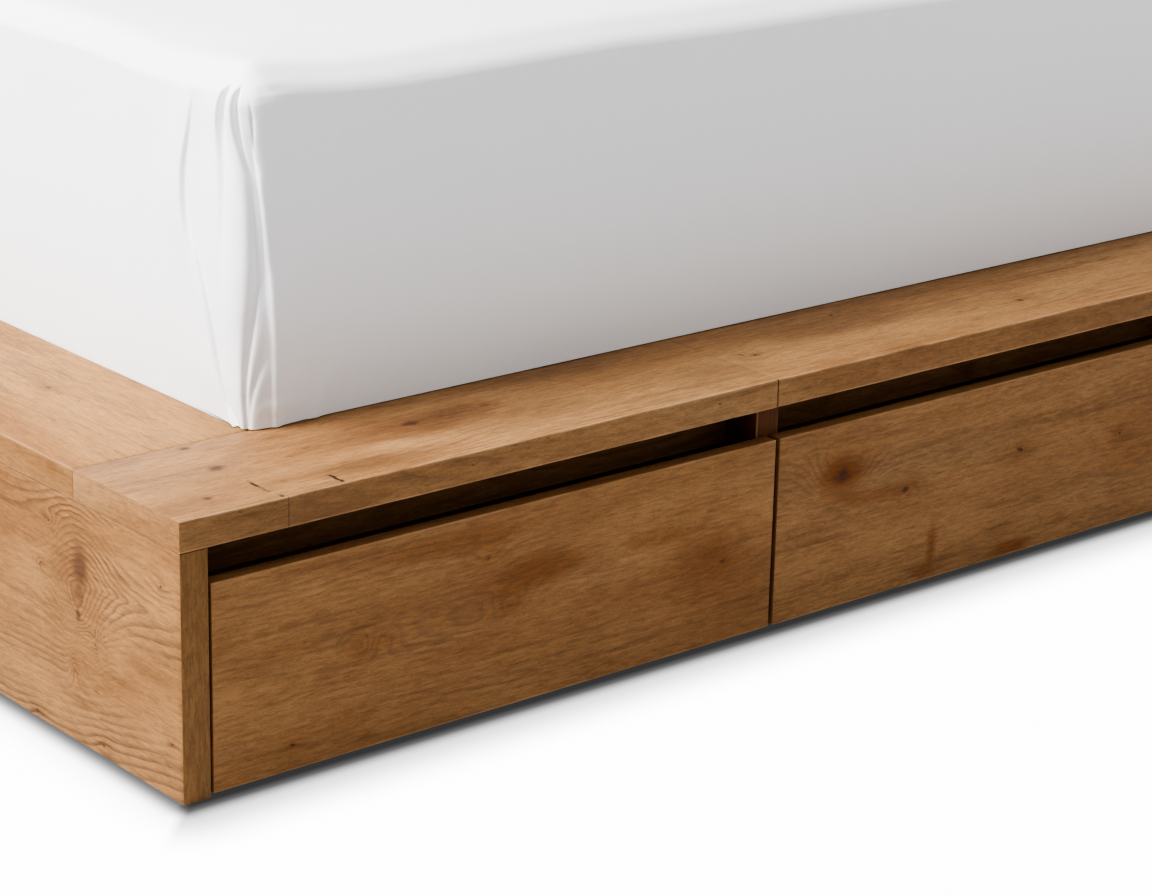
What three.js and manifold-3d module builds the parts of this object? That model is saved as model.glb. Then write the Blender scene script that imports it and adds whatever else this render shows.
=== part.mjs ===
// Platform bed with storage drawers: a low plank-built frame for a queen mattress.
// A wide flat ledge runs round the mattress well, and three drawers slide out of each long side.
// Units are millimetres. +X runs from the foot to the head, +Z is up, and the origin is on the
// floor under the middle of the frame.

import * as THREE from 'three';
import * as BufferGeometryUtils from 'three/addons/utils/BufferGeometryUtils.js';
import Module from 'manifold-3d';

const wasm = await Module();
wasm.setup();

// ---- Driving dimensions ----

const GAP = 0.3; // hairline between touching pieces

const MATTRESS_LENGTH = 2032;
const MATTRESS_WIDTH = 1524;
const MATTRESS_TOP = 660;
const MATTRESS_CLEARANCE = 3; // play all round the mattress in its well
const MATTRESS_CORNER = 45; // radius of the upright corners
const MATTRESS_ROLL = 25; // rounding of the top and bottom edges

const LEDGE_TOP = 300;
const LEDGE_THICKNESS = 33;
const SIDE_LEDGE = 195; // width of the ledge along the drawers
const FOOT_LEDGE = 212;
const HEAD_LEDGE = 105;
const LEDGE_JOINT = 0.6; // visible joint between two ledge boards
const LEDGE_JOINT_SHIFT = -3; // the joints sit over the drawer edge, not the divider's middle

const PANEL_THICKNESS = 33; // foot panel, head panel and dividers
const DIVIDER_SETBACK = 19; // the divider edges stand behind the drawer fronts

const BAYS = 3;
const FRONT_WIDTH = 757;
const FRONT_THICKNESS = 18;
const FRONT_BOTTOM = 4;
const FRONT_TOP = 229;
const FRONT_SIDE_GAP = 3; // half the gap between two fronts, and the whole gap beside an end panel

const BOX_DEPTH = 640;
const BOX_BOTTOM = 20;
const BOX_TOP = 190;
const BOX_SIDE_PLAY = 3.5;
const BOX_WALL = 15;
const BOX_FLOOR_THICKNESS = 6;
const BOX_FLOOR_HEIGHT = 12; // underside of the drawer floor above the lower edge of the sides
const FLOOR_GROOVE_DEPTH = 5;
const FLOOR_TONGUE = 4.5;

const RUNNER_THICKNESS = 11.5;
const RUNNER_HEIGHT = 20;
const RUNNER_BOTTOM = 101;
const RUNNER_END = 40; // distance of the runner ends behind the drawer faces
const RUNNER_GROOVE_DEPTH = 9;
const RUNNER_GROOVE_PLAY = 1;

const RAIL_SETBACK = 70; // recessed rail behind the finger gap
const RAIL_THICKNESS = 20;
const RAIL_HEIGHT = 57;
const CLEAT_WIDTH = 40; // half under the ledge, half carrying the slat ends
const CLEAT_HEIGHT = 47;
const BEAM_WIDTH = 33;
const BEAM_HEIGHT = 60;

const SLATS = 16;
const SLAT_WIDTH = 70;
const SLAT_THICKNESS = 18;
const SLAT_END_PLAY = 2;
const SLAT_MARGIN = 10; // well edge to the first slat
const TAPE_WIDTH = 30;
const TAPE_PROUD = 1; // how far the webbing stands above the slats
const TAPE_EMBED = 0.5;
const TAPE_OFFSET = 420; // webbing from the middle line

// ---- Worked-out dimensions ----

const wellLength = MATTRESS_LENGTH + 2 * MATTRESS_CLEARANCE;
const wellWidth = MATTRESS_WIDTH + 2 * MATTRESS_CLEARANCE;
const length = FOOT_LEDGE + wellLength + HEAD_LEDGE;
const width = 2 * SIDE_LEDGE + wellWidth;
const foot = -length / 2;
const head = length / 2;
const side = width / 2;
const underLedge = LEDGE_TOP - LEDGE_THICKNESS;
const slatBottom = underLedge + GAP;
const slatTop = slatBottom + SLAT_THICKNESS;
const mattressBottom = slatTop + TAPE_PROUD + GAP;
const innerFoot = foot + PANEL_THICKNESS;
const innerHead = head - PANEL_THICKNESS;

// Each drawer front fills its share of the inner length.
const frontPitch = FRONT_WIDTH + 2 * FRONT_SIDE_GAP;
const dividerX = [];
for (let i = 1; i < BAYS; i++) {
  dividerX.push(innerFoot + i * frontPitch);
}

// ---- Materials ----

function wood(color, roughness) {
  return new THREE.MeshStandardMaterial({ color, roughness, metalness: 0 });
}

const oak = wood(0xb07d4c, 0.62);
const boxWood = wood(0xc9a877, 0.7);
const runnerWood = wood(0xb98f5c, 0.5);
const slatWood = wood(0xd6bd92, 0.75);
const cotton = wood(0xf0f0f2, 0.9);

// ---- Geometry helpers ----

// A square-edged board between two corners.
function board(name, material, low, high) {
  const size = high.map((value, axis) => value - low[axis]);
  const mesh = new THREE.Mesh(new THREE.BoxGeometry(...size), material);
  mesh.name = name;
  mesh.position.set(...high.map((value, axis) => (value + low[axis]) / 2));
  return mesh;
}

// An outline swept along a straight line. The basis gives the directions of the outline's
// first and second coordinate and of the sweep.
function sweep(points, sweepLength, basis) {
  const shape = new THREE.Shape(points.map(([u, v]) => new THREE.Vector2(u, v)));
  const geometry = new THREE.ExtrudeGeometry(shape, { depth: sweepLength, bevelEnabled: false });
  geometry.applyMatrix4(new THREE.Matrix4().makeBasis(...basis.map((d) => new THREE.Vector3(...d))));
  return geometry;
}

// A three.js geometry as a manifold solid, with its shared corners merged.
function solid(geometry) {
  const bare = geometry.clone();
  bare.deleteAttribute('normal');
  bare.deleteAttribute('uv');
  const merged = BufferGeometryUtils.mergeVertices(bare);
  return new wasm.Manifold(new wasm.Mesh({
    numProp: 3,
    vertProperties: new Float32Array(merged.attributes.position.array),
    triVerts: new Uint32Array(merged.index.array),
  }));
}

// A manifold solid as a three.js geometry.
function surface(body) {
  const mesh = body.getMesh();
  const geometry = new THREE.BufferGeometry();
  geometry.setAttribute('position', new THREE.BufferAttribute(mesh.vertProperties, 3));
  geometry.setIndex(new THREE.BufferAttribute(mesh.triVerts, 1));
  geometry.computeVertexNormals();
  return geometry;
}

// ---- Fixed frame ----

// Upright panels that close the foot and the head.
function endPanels() {
  const top = underLedge - GAP;
  return [
    board('foot_panel', oak, [foot, -side, 0], [innerFoot, side, top]),
    board('head_panel', oak, [innerHead, -side, 0], [head, side, top]),
  ];
}

// Lengthwise members that rest in the dividers: [middle y, width, height].
const lengthwise = {
  rail_left: [-side + RAIL_SETBACK + RAIL_THICKNESS / 2, RAIL_THICKNESS, RAIL_HEIGHT],
  cleat_left: [-side + SIDE_LEDGE, CLEAT_WIDTH, CLEAT_HEIGHT],
  centre_beam: [0, BEAM_WIDTH, BEAM_HEIGHT],
  cleat_right: [side - SIDE_LEDGE, CLEAT_WIDTH, CLEAT_HEIGHT],
  rail_right: [side - RAIL_SETBACK - RAIL_THICKNESS / 2, RAIL_THICKNESS, RAIL_HEIGHT],
};

function lengthwiseMembers() {
  const top = underLedge - GAP;
  return Object.entries(lengthwise).map(([name, [y, wide, high]]) => board(
    name,
    name.startsWith('rail') ? oak : slatWood,
    [innerFoot + GAP, y - wide / 2, top - high],
    [innerHead - GAP, y + wide / 2, top],
  ));
}

// Cross dividers stand between the bays, with a notch in the top edge for each lengthwise member.
function dividers() {
  const top = underLedge - GAP;
  const end = side - DIVIDER_SETBACK;
  const outline = [[-end, 0], [-end, top]];
  for (const [y, wide, high] of Object.values(lengthwise)) {
    const half = wide / 2 + GAP;
    const floor = top - high - GAP;
    outline.push([y - half, top], [y - half, floor], [y + half, floor], [y + half, top]);
  }
  outline.push([end, top], [end, 0]);
  const basis = [[0, 1, 0], [0, 0, 1], [1, 0, 0]];
  return dividerX.map((x, i) => {
    const mesh = new THREE.Mesh(sweep(outline, PANEL_THICKNESS, basis), oak);
    mesh.name = `divider_${i + 1}`;
    mesh.position.x = x - PANEL_THICKNESS / 2;
    return mesh;
  });
}

// The ledge: three boards along each side, with the foot and head boards let in between them.
function ledgeBoards() {
  const joints = [foot, ...dividerX.map((x) => x + LEDGE_JOINT_SHIFT), head];
  const half = LEDGE_JOINT / 2;
  const inner = side - SIDE_LEDGE;
  const boards = [];
  for (const [word, y0, y1] of [['left', -side, -inner], ['right', inner, side]]) {
    for (let i = 0; i < BAYS; i++) {
      const x0 = joints[i] + (i > 0 ? half : 0);
      const x1 = joints[i + 1] - (i < BAYS - 1 ? half : 0);
      boards.push(board(`ledge_${word}_${i + 1}`, oak, [x0, y0, underLedge], [x1, y1, LEDGE_TOP]));
    }
  }
  const end = inner - LEDGE_JOINT;
  boards.push(
    board('ledge_foot', oak, [foot, -end, underLedge], [foot + FOOT_LEDGE, end, LEDGE_TOP]),
    board('ledge_head', oak, [head - HEAD_LEDGE, -end, underLedge], [head, end, LEDGE_TOP]),
  );
  return boards;
}

// Hardwood strips on the bay walls. Each serves the drawers of both sides.
function runners() {
  const reach = side - RUNNER_END;
  const walls = [[innerFoot, 1], [innerHead, -1]];
  for (const x of dividerX) {
    walls.push([x - PANEL_THICKNESS / 2, -1], [x + PANEL_THICKNESS / 2, 1]);
  }
  walls.sort((a, b) => a[0] - b[0]);
  return walls.map(([wall, direction], i) => {
    const near = wall + direction * GAP;
    const far = near + direction * RUNNER_THICKNESS;
    return board(
      `runner_${i + 1}`,
      runnerWood,
      [Math.min(near, far), -reach, RUNNER_BOTTOM],
      [Math.max(near, far), reach, RUNNER_BOTTOM + RUNNER_HEIGHT],
    );
  });
}

// Loose slats held together by two lengths of webbing, laid on the cleats and the beam.
function slatRoll() {
  const wellStart = foot + FOOT_LEDGE;
  const wellEnd = head - HEAD_LEDGE;
  const pitch = (wellEnd - wellStart - 2 * SLAT_MARGIN - SLAT_WIDTH) / (SLATS - 1);
  const firstSlat = wellStart + SLAT_MARGIN + SLAT_WIDTH / 2;
  const lastSlat = wellEnd - SLAT_MARGIN - SLAT_WIDTH / 2;
  const slatLength = wellWidth - 2 * SLAT_END_PLAY;
  const tapeThickness = TAPE_PROUD + TAPE_EMBED;
  let roll = null;
  for (let i = 0; i < SLATS; i++) {
    const slat = new THREE.BoxGeometry(SLAT_WIDTH, slatLength, SLAT_THICKNESS);
    slat.translate(firstSlat + i * pitch, 0, (slatBottom + slatTop) / 2);
    roll = roll ? roll.add(solid(slat)) : solid(slat);
  }
  for (const y of [-TAPE_OFFSET, TAPE_OFFSET]) {
    const tape = new THREE.BoxGeometry(lastSlat - firstSlat, TAPE_WIDTH, tapeThickness);
    tape.translate((firstSlat + lastSlat) / 2, y, slatTop + TAPE_PROUD - tapeThickness / 2);
    roll = roll.add(solid(tape));
  }
  const mesh = new THREE.Mesh(surface(roll), slatWood);
  mesh.name = 'slat_roll';
  return mesh;
}

// ---- Drawers ----

// The left drawer side seen from the front: the runner groove outside, the floor groove inside.
function drawerSideOutline(hand) {
  const grooveLow = RUNNER_BOTTOM - RUNNER_GROOVE_PLAY;
  const grooveHigh = RUNNER_BOTTOM + RUNNER_HEIGHT + RUNNER_GROOVE_PLAY;
  const floorLow = BOX_BOTTOM + BOX_FLOOR_HEIGHT - GAP;
  const floorHigh = floorLow + BOX_FLOOR_THICKNESS + 2 * GAP;
  const outline = [
    [0, BOX_BOTTOM],
    [BOX_WALL, BOX_BOTTOM],
    [BOX_WALL, floorLow],
    [BOX_WALL - FLOOR_GROOVE_DEPTH, floorLow],
    [BOX_WALL - FLOOR_GROOVE_DEPTH, floorHigh],
    [BOX_WALL, floorHigh],
    [BOX_WALL, BOX_TOP],
    [0, BOX_TOP],
    [0, grooveHigh],
    [RUNNER_GROOVE_DEPTH, grooveHigh],
    [RUNNER_GROOVE_DEPTH, grooveLow],
    [0, grooveLow],
  ];
  return outline.map(([x, z]) => [hand * x, z]);
}

// One drawer in its own frame: the middle of the front's face at the origin, +Y into the bed.
// The box hangs between its bay walls, so its middle is shifted from the middle of the front.
function drawer(name, boxWidth, boxShift) {
  const group = new THREE.Group();
  const boxFront = FRONT_THICKNESS + GAP;
  const boxBack = FRONT_THICKNESS + BOX_DEPTH;
  const outer = boxWidth / 2;
  const inner = outer - BOX_WALL;
  const floorBottom = BOX_BOTTOM + BOX_FLOOR_HEIGHT;
  const floorTop = floorBottom + BOX_FLOOR_THICKNESS;
  const floorHalf = inner + FLOOR_TONGUE;

  group.add(board(
    `${name}_front`,
    oak,
    [-FRONT_WIDTH / 2, 0, FRONT_BOTTOM],
    [FRONT_WIDTH / 2, FRONT_THICKNESS, FRONT_TOP],
  ));
  for (const [word, hand] of [['left', 1], ['right', -1]]) {
    const basis = [[1, 0, 0], [0, 0, 1], [0, -1, 0]];
    const sideGeometry = sweep(drawerSideOutline(hand), boxBack - boxFront, basis);
    const sideBoard = new THREE.Mesh(sideGeometry, boxWood);
    sideBoard.name = `${name}_side_${word}`;
    sideBoard.position.set(boxShift - hand * outer, boxBack, 0);
    group.add(sideBoard);
  }
  group.add(board(
    `${name}_back`,
    boxWood,
    [boxShift - inner + GAP, boxBack - BOX_WALL, floorTop + GAP],
    [boxShift + inner - GAP, boxBack, BOX_TOP],
  ));
  group.add(board(
    `${name}_floor`,
    boxWood,
    [boxShift - floorHalf, boxFront, floorBottom],
    [boxShift + floorHalf, boxBack, floorTop],
  ));
  return group;
}

// Three drawers on each side. Those of the right side face the other way.
function drawers() {
  const half = PANEL_THICKNESS / 2;
  const wallsBefore = [innerFoot, ...dividerX.map((x) => x + half)];
  const wallsAfter = [...dividerX.map((x) => x - half), innerHead];
  const groups = [];
  for (const [word, sign] of [['left', 1], ['right', -1]]) {
    for (let i = 0; i < BAYS; i++) {
      const frontMiddle = innerFoot + (i + 0.5) * frontPitch;
      const boxMiddle = (wallsBefore[i] + wallsAfter[i]) / 2;
      const boxWidth = wallsAfter[i] - wallsBefore[i] - 2 * BOX_SIDE_PLAY;
      const group = drawer(`drawer_${word}_${i + 1}`, boxWidth, sign * (boxMiddle - frontMiddle));
      group.position.set(frontMiddle, -sign * side, 0);
      group.rotation.z = sign > 0 ? 0 : Math.PI;
      groups.push(group);
    }
  }
  return groups;
}

// ---- Mattress ----

// A plain block with rounded corners and edges, lying on the slats.
function mattress() {
  const halfLength = MATTRESS_LENGTH / 2 - MATTRESS_ROLL;
  const halfWidth = MATTRESS_WIDTH / 2 - MATTRESS_ROLL;
  const radius = MATTRESS_CORNER - MATTRESS_ROLL;
  const shape = new THREE.Shape();
  shape.absarc(halfLength - radius, halfWidth - radius, radius, 0, Math.PI / 2);
  shape.absarc(radius - halfLength, halfWidth - radius, radius, Math.PI / 2, Math.PI);
  shape.absarc(radius - halfLength, radius - halfWidth, radius, Math.PI, 1.5 * Math.PI);
  shape.absarc(halfLength - radius, radius - halfWidth, radius, 1.5 * Math.PI, 2 * Math.PI);
  const geometry = new THREE.ExtrudeGeometry(shape, {
    depth: MATTRESS_TOP - mattressBottom - 2 * MATTRESS_ROLL,
    bevelThickness: MATTRESS_ROLL,
    bevelSize: MATTRESS_ROLL,
    bevelSegments: 4,
    curveSegments: 6,
  });
  const mesh = new THREE.Mesh(geometry, cotton);
  mesh.name = 'mattress';
  const middleX = foot + FOOT_LEDGE + MATTRESS_CLEARANCE + MATTRESS_LENGTH / 2;
  mesh.position.set(middleX, 0, mattressBottom + MATTRESS_ROLL);
  return mesh;
}

// ---- Assembly ----

const bed = new THREE.Group();
bed.add(
  ...endPanels(),
  ...lengthwiseMembers(),
  ...dividers(),
  ...ledgeBoards(),
  ...runners(),
  slatRoll(),
  ...drawers(),
  mattress(),
);

export default bed;
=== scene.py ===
"""Platform bed with storage drawers: worn rustic oak boards, pale drawer boxes and a fitted cotton sheet.

Everything is in metres in the row frame: +X from the foot to the head, +Z up, drawers along both
long sides, and the origin on the floor under the middle of the bed."""

import math

import bmesh
import bpy
import numpy as np
from mathutils import Matrix, Vector


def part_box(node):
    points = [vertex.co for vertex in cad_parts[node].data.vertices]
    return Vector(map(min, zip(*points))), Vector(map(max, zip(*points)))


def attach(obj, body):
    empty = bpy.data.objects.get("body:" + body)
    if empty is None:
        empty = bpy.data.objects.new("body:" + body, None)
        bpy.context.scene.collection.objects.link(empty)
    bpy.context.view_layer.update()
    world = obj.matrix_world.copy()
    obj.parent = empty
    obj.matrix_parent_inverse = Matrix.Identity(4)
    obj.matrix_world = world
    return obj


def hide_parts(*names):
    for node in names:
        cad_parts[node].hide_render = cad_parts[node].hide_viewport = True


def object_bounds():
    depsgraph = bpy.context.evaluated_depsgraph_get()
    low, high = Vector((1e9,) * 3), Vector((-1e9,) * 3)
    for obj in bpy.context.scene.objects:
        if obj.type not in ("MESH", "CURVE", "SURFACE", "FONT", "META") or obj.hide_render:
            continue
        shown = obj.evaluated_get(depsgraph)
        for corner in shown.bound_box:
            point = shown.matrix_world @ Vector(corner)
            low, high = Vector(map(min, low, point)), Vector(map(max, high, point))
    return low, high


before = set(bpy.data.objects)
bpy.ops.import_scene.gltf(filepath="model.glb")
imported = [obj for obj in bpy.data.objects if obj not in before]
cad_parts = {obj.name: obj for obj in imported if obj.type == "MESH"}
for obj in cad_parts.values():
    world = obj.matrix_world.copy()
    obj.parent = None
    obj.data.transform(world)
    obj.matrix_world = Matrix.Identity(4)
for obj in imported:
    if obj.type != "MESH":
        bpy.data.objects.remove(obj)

CAD_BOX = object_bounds()
MM = 0.001

BED_LOW, BED_HIGH = CAD_BOX
FOOT = BED_LOW[0]
HEAD = BED_HIGH[0]
NEAR = BED_LOW[1]  # the drawer side that faces the camera
FAR = BED_HIGH[1]
LEDGE_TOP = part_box("ledge_left_1")[1].z

# ---------------------------------------------------------------- camera

# A long lens, low and from the foot, on the near side.
CAMERA_FROM_CORNER = Vector((-1.6063, -2.4923, 1.3748))  # from the foot corner on the floor
CAMERA_YAW = math.radians(49.81)  # from +X towards +Y
CAMERA_TILT = math.radians(18.59)
CAMERA_ROLL = math.radians(1.38)
CAMERA_LENS = 101.36  # mm on a 36 mm wide sensor


def add_camera():
    forward = Vector((
        math.cos(CAMERA_TILT) * math.cos(CAMERA_YAW),
        math.cos(CAMERA_TILT) * math.sin(CAMERA_YAW),
        -math.sin(CAMERA_TILT),
    ))
    level = forward.cross(Vector((0, 0, 1))).normalized()
    right = Matrix.Rotation(-CAMERA_ROLL, 3, forward) @ level
    up = right.cross(forward)
    data = bpy.data.cameras.new("camera")
    data.lens = CAMERA_LENS
    data.sensor_width = 36
    camera = bpy.data.objects.new("camera", data)
    rotation = Matrix((right, up, -forward)).transposed()
    corner = Vector((FOOT, NEAR, 0))
    camera.matrix_world = Matrix.Translation(corner + CAMERA_FROM_CORNER) @ rotation.to_4x4()
    bpy.context.scene.collection.objects.link(camera)
    bpy.context.scene.camera = camera


add_camera()

# ---------------------------------------------------------------- node helpers


class Nodes:
    """Shorthand for building one node tree: every method returns an output socket."""

    def __init__(self, tree):
        self.tree = tree

    def add(self, kind, inputs=(), output=0, **settings):
        node = self.tree.nodes.new("ShaderNode" + kind)
        for key, value in settings.items():
            setattr(node, key, value)
        pairs = inputs.items() if isinstance(inputs, dict) else enumerate(inputs)
        for key, value in pairs:
            if value is None:
                continue
            if isinstance(value, bpy.types.NodeSocket):
                self.tree.links.new(value, node.inputs[key])
            else:
                node.inputs[key].default_value = value
        return node.outputs[output]

    def math(self, operation, *values):
        return self.add("Math", values, operation=operation)

    def plus(self, a, b):
        return self.math("ADD", a, b)

    def minus(self, a, b):
        return self.math("SUBTRACT", a, b)

    def times(self, a, b):
        return self.math("MULTIPLY", a, b)

    def vector(self, operation, *values, output=0):
        return self.add("VectorMath", values, output, operation=operation)

    def scaled(self, vector, factors):
        return self.vector("MULTIPLY", vector, factors)

    def scaled_by(self, vector, factor):
        return self.add("VectorMath", {0: vector, "Scale": factor}, operation="SCALE")

    def combine(self, x, y, z):
        return self.add("CombineXYZ", (x, y, z))

    def split(self, vector):
        node = self.tree.nodes.new("ShaderNodeSeparateXYZ")
        self.tree.links.new(vector, node.inputs[0])
        return node.outputs

    def noise(self, vector, scale=1.0, detail=2.0, roughness=0.5, distortion=0.0):
        inputs = {
            "Vector": vector, "Scale": scale, "Detail": detail,
            "Roughness": roughness, "Distortion": distortion,
        }
        return self.add("TexNoise", inputs)

    def ramp(self, value, low, high, out_low=0.0, out_high=1.0):
        """value from low to high becomes out_low to out_high, smoothly and clamped."""
        inputs = {0: value, 1: low, 2: high, 3: out_low, 4: out_high}
        return self.add("MapRange", inputs, interpolation_type="SMOOTHSTEP")

    def mix(self, factor, a, b, blend="MIX"):
        node = self.tree.nodes.new("ShaderNodeMix")
        node.data_type = "RGBA"
        node.blend_type = blend
        for socket, value in ((node.inputs[0], factor), (node.inputs[6], a), (node.inputs[7], b)):
            if isinstance(value, bpy.types.NodeSocket):
                self.tree.links.new(value, socket)
            elif isinstance(value, (int, float)):
                socket.default_value = value
            else:
                socket.default_value = (*value, 1.0)
        return node.outputs[2]

    def bell(self, distance, width):
        """1 at no distance, falling to nothing beyond the width."""
        ratio = self.math("DIVIDE", distance, width)
        square = self.times(ratio, ratio)
        return self.math("EXPONENT", self.times(square, -1.0))

    def total(self, values):
        result = values[0]
        for value in values[1:]:
            result = self.plus(result, value)
        return result

    def largest(self, values):
        result = values[0]
        for value in values[1:]:
            result = self.math("MAXIMUM", result, value)
        return result


def new_material(name):
    """A material with a bare Principled shader, and the helper for its tree."""
    material = bpy.data.materials.new(name)
    material.use_nodes = True
    shader = material.node_tree.nodes["Principled BSDF"]
    return material, shader, Nodes(material.node_tree)


def finish_surface(nodes, shader, color, roughness, height, distance, strength=1.0):
    """Links colour and roughness, and a bump from a height in units of distance."""
    tree = nodes.tree
    tree.links.new(color, shader.inputs["Base Color"])
    tree.links.new(roughness, shader.inputs["Roughness"])
    bump = nodes.add("Bump", {"Strength": strength, "Distance": distance, "Height": height})
    tree.links.new(bump, shader.inputs["Normal"])


# ---------------------------------------------------------------- wood

OAK_LIGHT = (0.345, 0.186, 0.080)
OAK_MIDDLE = (0.262, 0.132, 0.052)
OAK_DARK = (0.112, 0.045, 0.016)
OAK_RED = (0.226, 0.101, 0.037)
OAK_GREY = (0.232, 0.138, 0.068)
OAK_KNOT = (0.062, 0.024, 0.010)
OAK_CRACK = (0.022, 0.009, 0.005)
# the pale of worn edges, which also serves as a painted highlight along them
OAK_WEAR_AND_HIGHLIGHT = (0.470, 0.285, 0.155)
OAK_STAIN = (0.178, 0.050, 0.001)

RINGS_PER_METRE = 105.0


def board_facing(nodes):
    """How squarely the surface faces along each axis, by axis letter."""
    normal = nodes.vector("ABSOLUTE", nodes.add("NewGeometry", output=1))
    return dict(zip("xyz", nodes.split(normal)))


def board_place(nodes, box, grain, face, facing):
    """Coordinates from the board's middle: along the grain, across the face, into the board.
    On the end faces they are turned, so that the ends show long grain as veneered ends do."""
    low, high = box
    raw = nodes.add("TexCoord", output=3)
    x, y, z = nodes.split(nodes.vector("SUBTRACT", raw, tuple((low + high) / 2)))
    by_axis = {"x": x, "y": y, "z": z}
    depth = ({"x", "y", "z"} - {grain, face}).pop()
    flat = nodes.combine(by_axis[grain], by_axis[face], by_axis[depth])
    turned = nodes.combine(by_axis[face], by_axis[depth], by_axis[grain])
    is_end = nodes.ramp(facing[grain], 0.72, 0.78)
    return nodes.vector("ADD", nodes.scaled_by(flat, nodes.minus(1.0, is_end)),
                        nodes.scaled_by(turned, is_end))


def edge_distance(nodes, box, grain):
    """How far a point of the surface is from the board's nearest long edge."""
    low, high = box
    raw = nodes.add("TexCoord", output=3)
    offset = nodes.vector("ABSOLUTE", nodes.vector("SUBTRACT", raw, tuple((low + high) / 2)))
    gaps = nodes.split(nodes.vector("SUBTRACT", tuple((high - low) / 2), offset))
    across = [gap for axis, gap in zip("xyz", gaps) if axis != grain]
    return nodes.math("MAXIMUM", *across)


def knot_fields(nodes, place, wander, knots):
    """For knots (along, across, radius, rings, darkness, shape): the sum of ring shifts, the dark
    hearts and the halos. The last two may be left out. A shape above 1 stands across the grain."""
    shifts, hearts, halos = [], [], []
    for along, across, radius, rings, *more in knots:
        dark = more[0] if more else 1.0
        shape = more[1] if len(more) > 1 else 0.66
        gap = nodes.vector("SUBTRACT", place, (along, across, 0.0))
        flat = nodes.scaled(gap, (shape, min(1.0, 1 / shape), 0.0))
        distance = nodes.vector("LENGTH", nodes.vector("ADD", flat, wander), output=1)
        reach = 2.3 * radius + 0.006
        shifts.append(nodes.times(nodes.bell(distance, reach), rings))
        hearts.append(nodes.ramp(distance, 0.85 * radius, 0.2 * radius, 0.0, dark))
        halos.append(nodes.bell(distance, 0.85 * reach))
    return nodes.total(shifts), nodes.largest(hearts), nodes.largest(halos)


def crack_field(nodes, place, cracks):
    """Thin splits across the grain, each (along, across start, across end, width)."""
    along, across, _ = nodes.split(place)
    wobble_at = nodes.combine(nodes.times(across, 70.0), along, 0.0)
    wobble = nodes.times(nodes.minus(nodes.noise(wobble_at, 1.0, 3.0), 0.5), 0.008)
    swell = nodes.ramp(nodes.noise(nodes.scaled(place, (20.0, 130.0, 20.0)), 1.0, 2.0), 0.34, 0.54, 0.35, 1.0)
    found = []
    for at, start, end, width in cracks:
        shifted = nodes.plus(nodes.minus(along, at), wobble)
        line = nodes.ramp(nodes.math("ABSOLUTE", shifted), width, 0.25 * width)
        middle, half = (start + end) / 2, abs(end - start) / 2
        reach = nodes.math("ABSOLUTE", nodes.minus(across, middle))
        inside = nodes.ramp(reach, half, 0.7 * half)
        found.append(nodes.times(line, inside))
    return nodes.times(nodes.largest(found), swell)


def patch_mask(nodes, place, ragged, patch):
    """A ragged oval (along, across, length, height): 1 inside, 0 outside."""
    at, level, length, height = patch
    gap = nodes.scaled(nodes.vector("SUBTRACT", place, (at, level, 0.0)), (1 / length, 1 / height, 0.0))
    rim = nodes.plus(nodes.vector("LENGTH", gap, output=1), ragged)
    return nodes.ramp(rim, 1.25, 0.25)


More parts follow.
